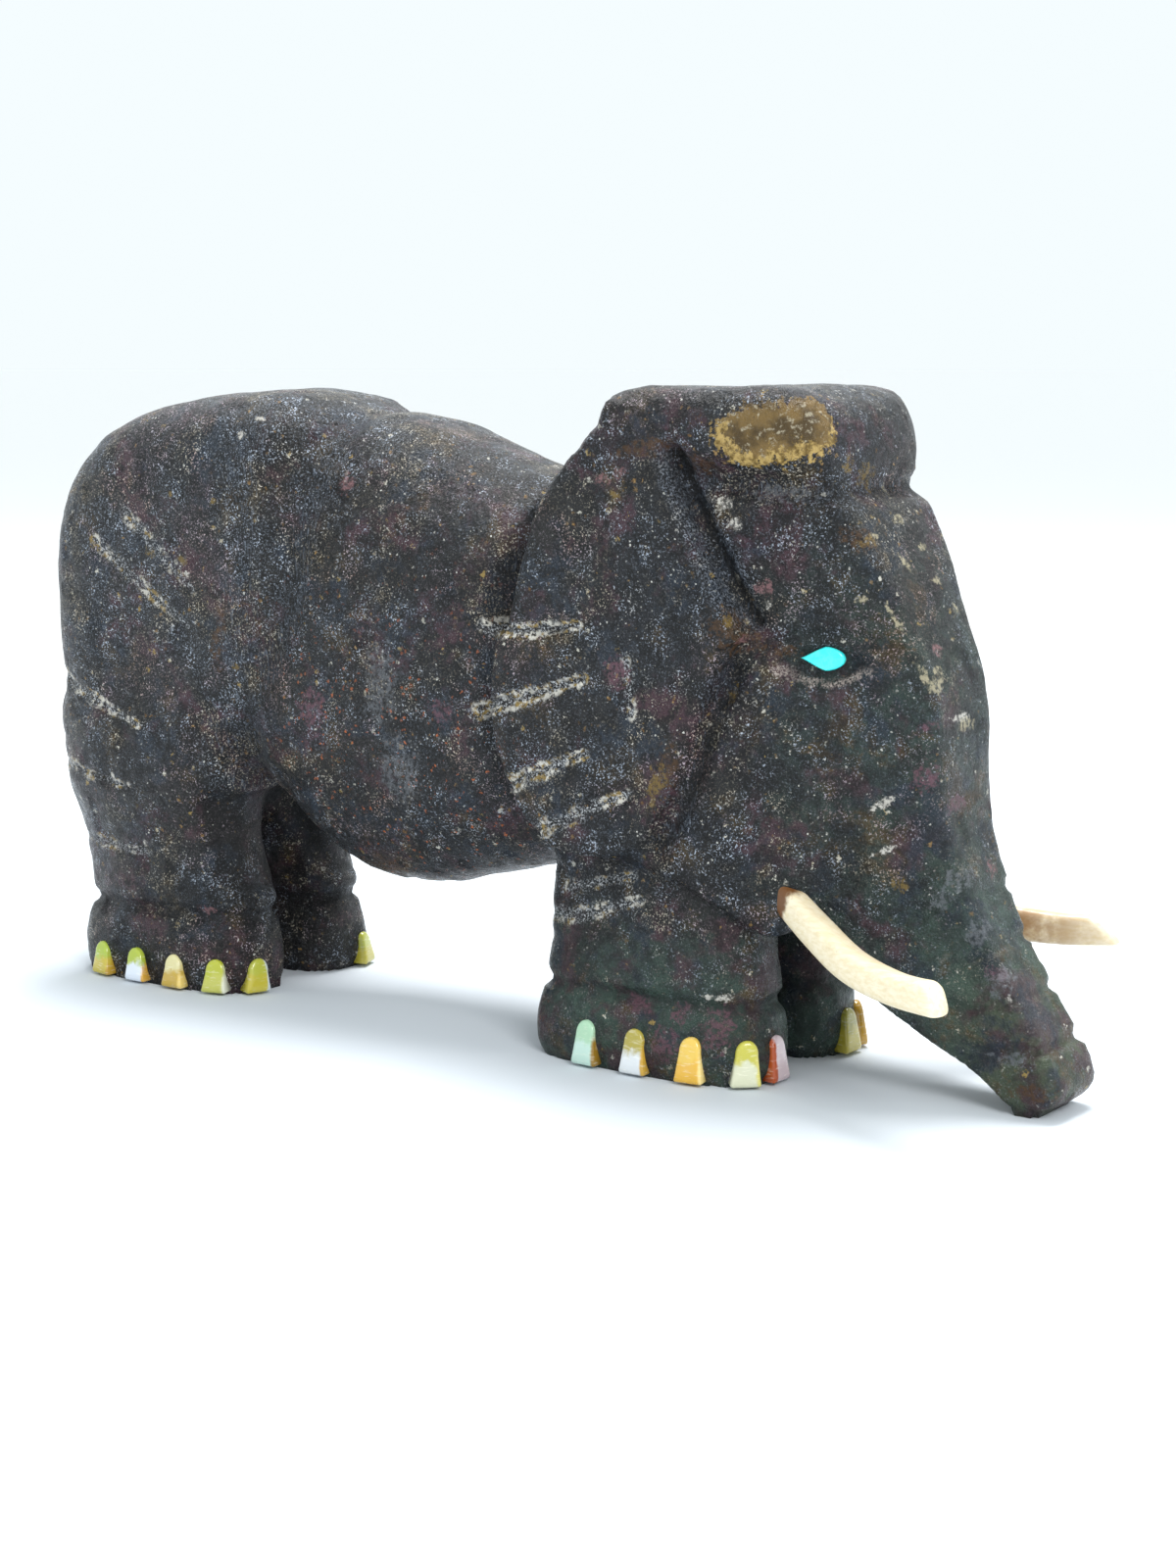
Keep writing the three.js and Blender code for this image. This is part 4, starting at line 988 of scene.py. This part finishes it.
def inlay(name, ring, frame_at, depth, proud, rim):
    """A slip let into the stone. Its outline stands in a plane, and its face is proud(u, v) above it."""
    origin, along, up, outward = frame_at
    ring = np.array(ring)
    heart = ring.mean(0)
    loops = [(1.0, None, -depth), (1.0, rim, 0), (1 - 0.35 * rim / depth, 0.35 * rim, 0),
             (1 - rim / depth, 0, 0)]
    loops += [(share * (1 - rim / depth), 0, 0) for share in (0.75, 0.5, 0.25)]
    corners, shades, sides = [], [], []
    for share, below, back in loops:
        for u, v in heart + (ring - heart) * share:
            rise = back if below is None else proud(u, v) * (1 + 0.25 * (1 - share)) - below
            corners.append(origin + along * u + up * v + outward * rise)
            shades.append((v - ring[:, 1].min()) / np.ptp(ring[:, 1]))
            sides.append((u - ring[:, 0].min()) / np.ptp(ring[:, 0]))
    count = len(ring)
    faces = [tuple(reversed(range(count)))]
    for i in range(len(loops) - 1):
        for j in range(count):
            a, c = i * count + j, i * count + (j + 1) % count
            faces.append((a, c, c + count, a + count))
    hub = len(corners)
    corners.append(origin + along * heart[0] + up * heart[1] + outward * proud(*heart) * 1.25)
    shades.append(0.5)
    sides.append(0.5)
    last = (len(loops) - 1) * count
    faces += [(last + j, last + (j + 1) % count, hub) for j in range(count)]
    return new_piece(name, corners, faces, upward=shades, across=sides)


def standing_frame(place, outward):
    outward = np.array(outward) / np.linalg.norm(outward)
    along = np.cross([0, 0, 1], outward)
    return place, along, np.array([0, 0, 1.0]), outward


def eye_outline(forward):
    """A teardrop, blunt in front; forward is 1 or -1, the way along the plane that faces ahead."""
    steps = np.linspace(0, 2 * math.pi, 48, endpoint=False)
    length = np.cos(steps)
    taper = np.minimum((length + 1) / 1.15, 1) ** 0.8
    return [(forward * EYE_LENGTH / 2 * a, EYE_HEIGHT / 2 * s * t)
            for a, s, t in zip(length, np.sin(steps), taper)][::int(forward)]


turquoise = material("polished turquoise")
veins = turquoise.noise(turquoise.mm, 0.9, 4.0, 0.6)
blue = turquoise.mix(turquoise.between(veins, 0.35, 0.7), colour("35d8dc"), colour("4fe3d6"))
flecks = turquoise.noise(turquoise.mm, 2.6, 3.0)
blue = turquoise.mix(turquoise.between(flecks, 0.62, 0.75, 0.0, 0.5), blue, colour("2aa9a4"))
turquoise.send(blue, turquoise.surface["Base Color"])
turquoise.send(turquoise.between(veins, 0.3, 0.7, 0.20, 0.34), turquoise.surface["Roughness"])
for hand, left in (("right", -1), ("left", 1)):
    depth_side = face_half_width(EYE_X) - SOCKET_DEPTH
    frame_at = standing_frame(in_metres(EYE_X, left * depth_side, EYE_Z), (FACE_TAPER, left, 0))
    eye = inlay(f"turquoise_eye_{hand}", eye_outline(-left), frame_at, EYE_DEPTH, lambda u, v: EYE_PROUD,
                EDGE_ROUND)
    eye.data.materials.append(turquoise.made)
    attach(eye, "root")
    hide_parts(f"eye_{hand}")


# The toenails. Each is a slip of shell, gold to pearly white, ground to a round top, let into a notch in
# the foot and filed off above the ground. They stand prouder at the bottom than at the top.
NAIL_WIDTH, NAIL_DEPTH, NAIL_PROUD, NAIL_LIFT = 3.8 * MM, 1.4 * MM, 0.6 * MM, 0.4 * MM
NAIL_LEAN = 0.22          # how far a top leans, as a share of half the width
NAIL_TOP = 0.74           # width at the spring of its round top, as a share of its foot
NAILS = {
    "hind": (4.6 * MM, [0.036, 0.107, 0.190, 0.275, 0.364]),
    "fore": (5.6 * MM, [0.000, 0.062, 0.145, 0.240, 0.330]),
}
# Colours of each shell: at its foot, at its top and along one edge, the edge's side, and the top's lean.
# A left shell that differs from its twin has a row of its own.
SHELLS = {
    "fore_1": ("c9b4b8", "cdb9bd", "a8481a", -1, 0.2), "fore_2": ("cfd0b4", "bdb748", "d2c96a", 1, 0.7),
    "fore_3": ("dfae3c", "e2bd55", "f0d488", 1, 0.0), "fore_4": ("dbdfe2", "a89a42", "c39a38", 1, -0.1),
    "fore_5": ("bcd9cc", "a5cbab", "8f6d20", 1, -0.2),
    "fore_left_1": ("b3a53c", "8f8a34", "c9b64a", 1, 0.2),
    "fore_left_2": ("c79a36", "b58c2e", "d8c070", 1, 0.3),
    "hind_1": ("b9ad3c", "aeb045", "bcc6c8", 1, 1.2), "hind_2": ("b9b956", "b0b437", "d8d9c4", 1, 0.1),
    "hind_3": ("bf9f3c", "d8cf9a", "e6c872", 1, -0.4), "hind_4": ("dbe3ee", "a9b83f", "cf9e3e", 1, -1.1),
    "hind_5": ("c2b03f", "a6b843", "b58f2e", 1, -0.8),
}


def round_foot(middle, half, distance, left):
    """The place and outward direction on a foot's outline at this distance round from its front."""
    turn = np.linspace(0, math.pi, 401)
    cos, sin = np.cos(turn), np.sin(turn)
    ring_x = half * np.sign(cos) * np.abs(cos) ** (2 / FOOT_POWER)
    ring_side = FOOT_HALF_WIDTH * np.abs(sin) ** (2 / FOOT_POWER)
    walked = np.concatenate([[0], np.cumsum(np.hypot(np.diff(ring_x), np.diff(ring_side)))])
    i = int(np.argmax(walked >= distance))
    out_x = np.sign(cos[i]) * abs(cos[i]) ** (2 - 2 / FOOT_POWER) / half
    out_side = abs(sin[i]) ** (2 - 2 / FOOT_POWER) / FOOT_HALF_WIDTH
    place = in_metres(middle + ring_x[i], left * (FOOT_SIDE + ring_side[i]), 0) + [0, 0, NAIL_LIFT]
    return standing_frame(place, (out_x, left * out_side, 0))


def nail_outline(height, lean):
    half = NAIL_WIDTH / 2
    spring = height - half
    corner = 0.2 * MM
    arc = [(NAIL_TOP * half * math.cos(a), spring + half * math.sin(a) ** 0.8)
           for a in np.linspace(0, math.pi, 19)]
    foot = [(-half + corner, 0), (-0.5 * half, 0), (0, 0), (0.5 * half, 0), (half - corner, 0),
            (half, corner)]
    sides = [((1 - (1 - NAIL_TOP) * k) * half, corner + k * (spring - corner)) for k in (0.33, 0.66)]
    ring = foot + sides + arc + [(-u, v) for u, v in reversed(sides)] + [(-half, corner)]
    return [(u + NAIL_LEAN * lean * half * v / height, v) for u, v in ring]


for pair, (height, spots) in NAILS.items():
    middle, half, _ = FEET[pair]
    for hand, left in (("right", -1), ("left", 1)):
        for number, spot in enumerate(spots, 1):
            own = f"{pair}_{hand}_{number}"
            foot_code, top_code, edge_code, edge, lean = SHELLS[own if own in SHELLS else f"{pair}_{number}"]
            nacre = material(f"shell_{pair}_{hand}_{number}")
            pearl = nacre.noise(nacre.mm, 0.5, 3.0)
            cloudiness = nacre.math("SUBTRACT", pearl, 0.5)
            upward = nacre.math("ADD", nacre.mark("upward"), nacre.math("MULTIPLY", cloudiness, 0.7))
            shell = nacre.mix(nacre.between(upward, 0.40, 0.62), colour(foot_code), colour(top_code))
            across = nacre.math("ADD", nacre.mark("across"), nacre.math("MULTIPLY", cloudiness, 0.3))
            edge_from, edge_to = (0.80, 0.92) if edge > 0 else (0.32, 0.22)
            side_share = nacre.between(across, edge_from, edge_to)
            shell = nacre.mix(side_share, shell, colour(edge_code))
            layers = nacre.put("ShaderNodeMapping", {
                "Vector": nacre.mm, "Rotation": (0.3, 0.5, 0), "Scale": (0.6, 0.6, 3.0)})
            bands = nacre.noise(layers.outputs[0], 1.2, 2.0)
            shell = nacre.mix(nacre.between(bands, 0.55, 0.7, 0.0, 0.25), shell, colour("efecd8"))
            nacre.send(shell, nacre.surface["Base Color"])
            nacre.send(nacre.between(bands, 0.3, 0.7, 0.14, 0.28), nacre.surface["Roughness"])
            nacre.surface["Coat Weight"].default_value = 0.4
            nacre.surface["Coat Roughness"].default_value = 0.08
            stand = round_foot(middle, half, spot, left)
            nail = inlay(f"shell_nail_{pair}_{hand}_{number}", nail_outline(height, lean * -left), stand,
                         NAIL_DEPTH, lambda u, v: NAIL_PROUD * (1.5 - 1.3 * v / height), EDGE_ROUND)
            nail.data.materials.append(nacre.made)
            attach(nail, "root")
            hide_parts(f"nail_{pair}_{hand}_{number}")


# The floor it stands on for the picture, and soft daylight from above and from the front.
FLOOR_SIZE = 60.0
ground = material("pale floor")
# The floor is painted darker near the carving, to offset the lamps' pool of light there, and white far off
far = ground.vector("LENGTH", ground.vector("SCALE", ground.mm, scale=MM))
ground.send(ground.mix(ground.between(far, 0.05, 0.75), colour("d2d8de"), colour("ffffff")),
            ground.surface["Base Color"])
ground.surface["Roughness"].default_value = 0.75
ground.surface["Specular IOR Level"].default_value = 0.2
floor_corners = [(sx * FLOOR_SIZE, sy * FLOOR_SIZE, 0) for sx, sy in ((-1, -1), (1, -1), (1, 1), (-1, 1))]
floor = new_piece("floor", floor_corners, [(0, 1, 2, 3)])
floor.data.materials.append(ground.made)

world = bpy.data.worlds.new("soft daylight")
bpy.context.scene.world = world
world.use_nodes = True
sky = world.node_tree.nodes["Background"].inputs
sky["Color"].default_value = (0.913, 0.98, 1.0, 1)
sky["Strength"].default_value = 1.0


def soft_light(name, place, size, power):
    light = bpy.data.objects.new(name, bpy.data.lights.new(name, "AREA"))
    light.data.size = size
    light.data.energy = power
    light.location = place
    light.rotation_euler = (Vector((0, 0, 0.04)) - Vector(place)).to_track_quat("-Z", "Y").to_euler()
    bpy.context.collection.objects.link(light)


soft_light("overhead", (-0.05, 0.15, 0.61), size=0.30, power=6.4)
soft_light("front", (0.60, -0.40, 0.50), size=0.30, power=3.9)

# The camera stands about four heights away, a little above, and looks across the right shoulder.
CAMERA_AT = (3.27, -3.33, 1.036)      # in shares of the height
TURN = math.radians(36.0)
DOWN = math.radians(8.9)
LENS_PIXELS = 2720                    # the distance to the image, in pixels of the photograph
FRAME_PIXELS = 1600
camera = bpy.data.objects.new("camera", bpy.data.cameras.new("camera"))
camera.data.sensor_width = 36
camera.data.lens = LENS_PIXELS / FRAME_PIXELS * camera.data.sensor_width
camera.data.clip_start = 0.01
camera.location = in_metres(*CAMERA_AT)
camera.rotation_euler = (math.pi / 2 - DOWN, 0, TURN)
bpy.context.collection.objects.link(camera)
bpy.context.scene.camera = camera
bpy.context.scene.view_settings.view_transform = "Standard"
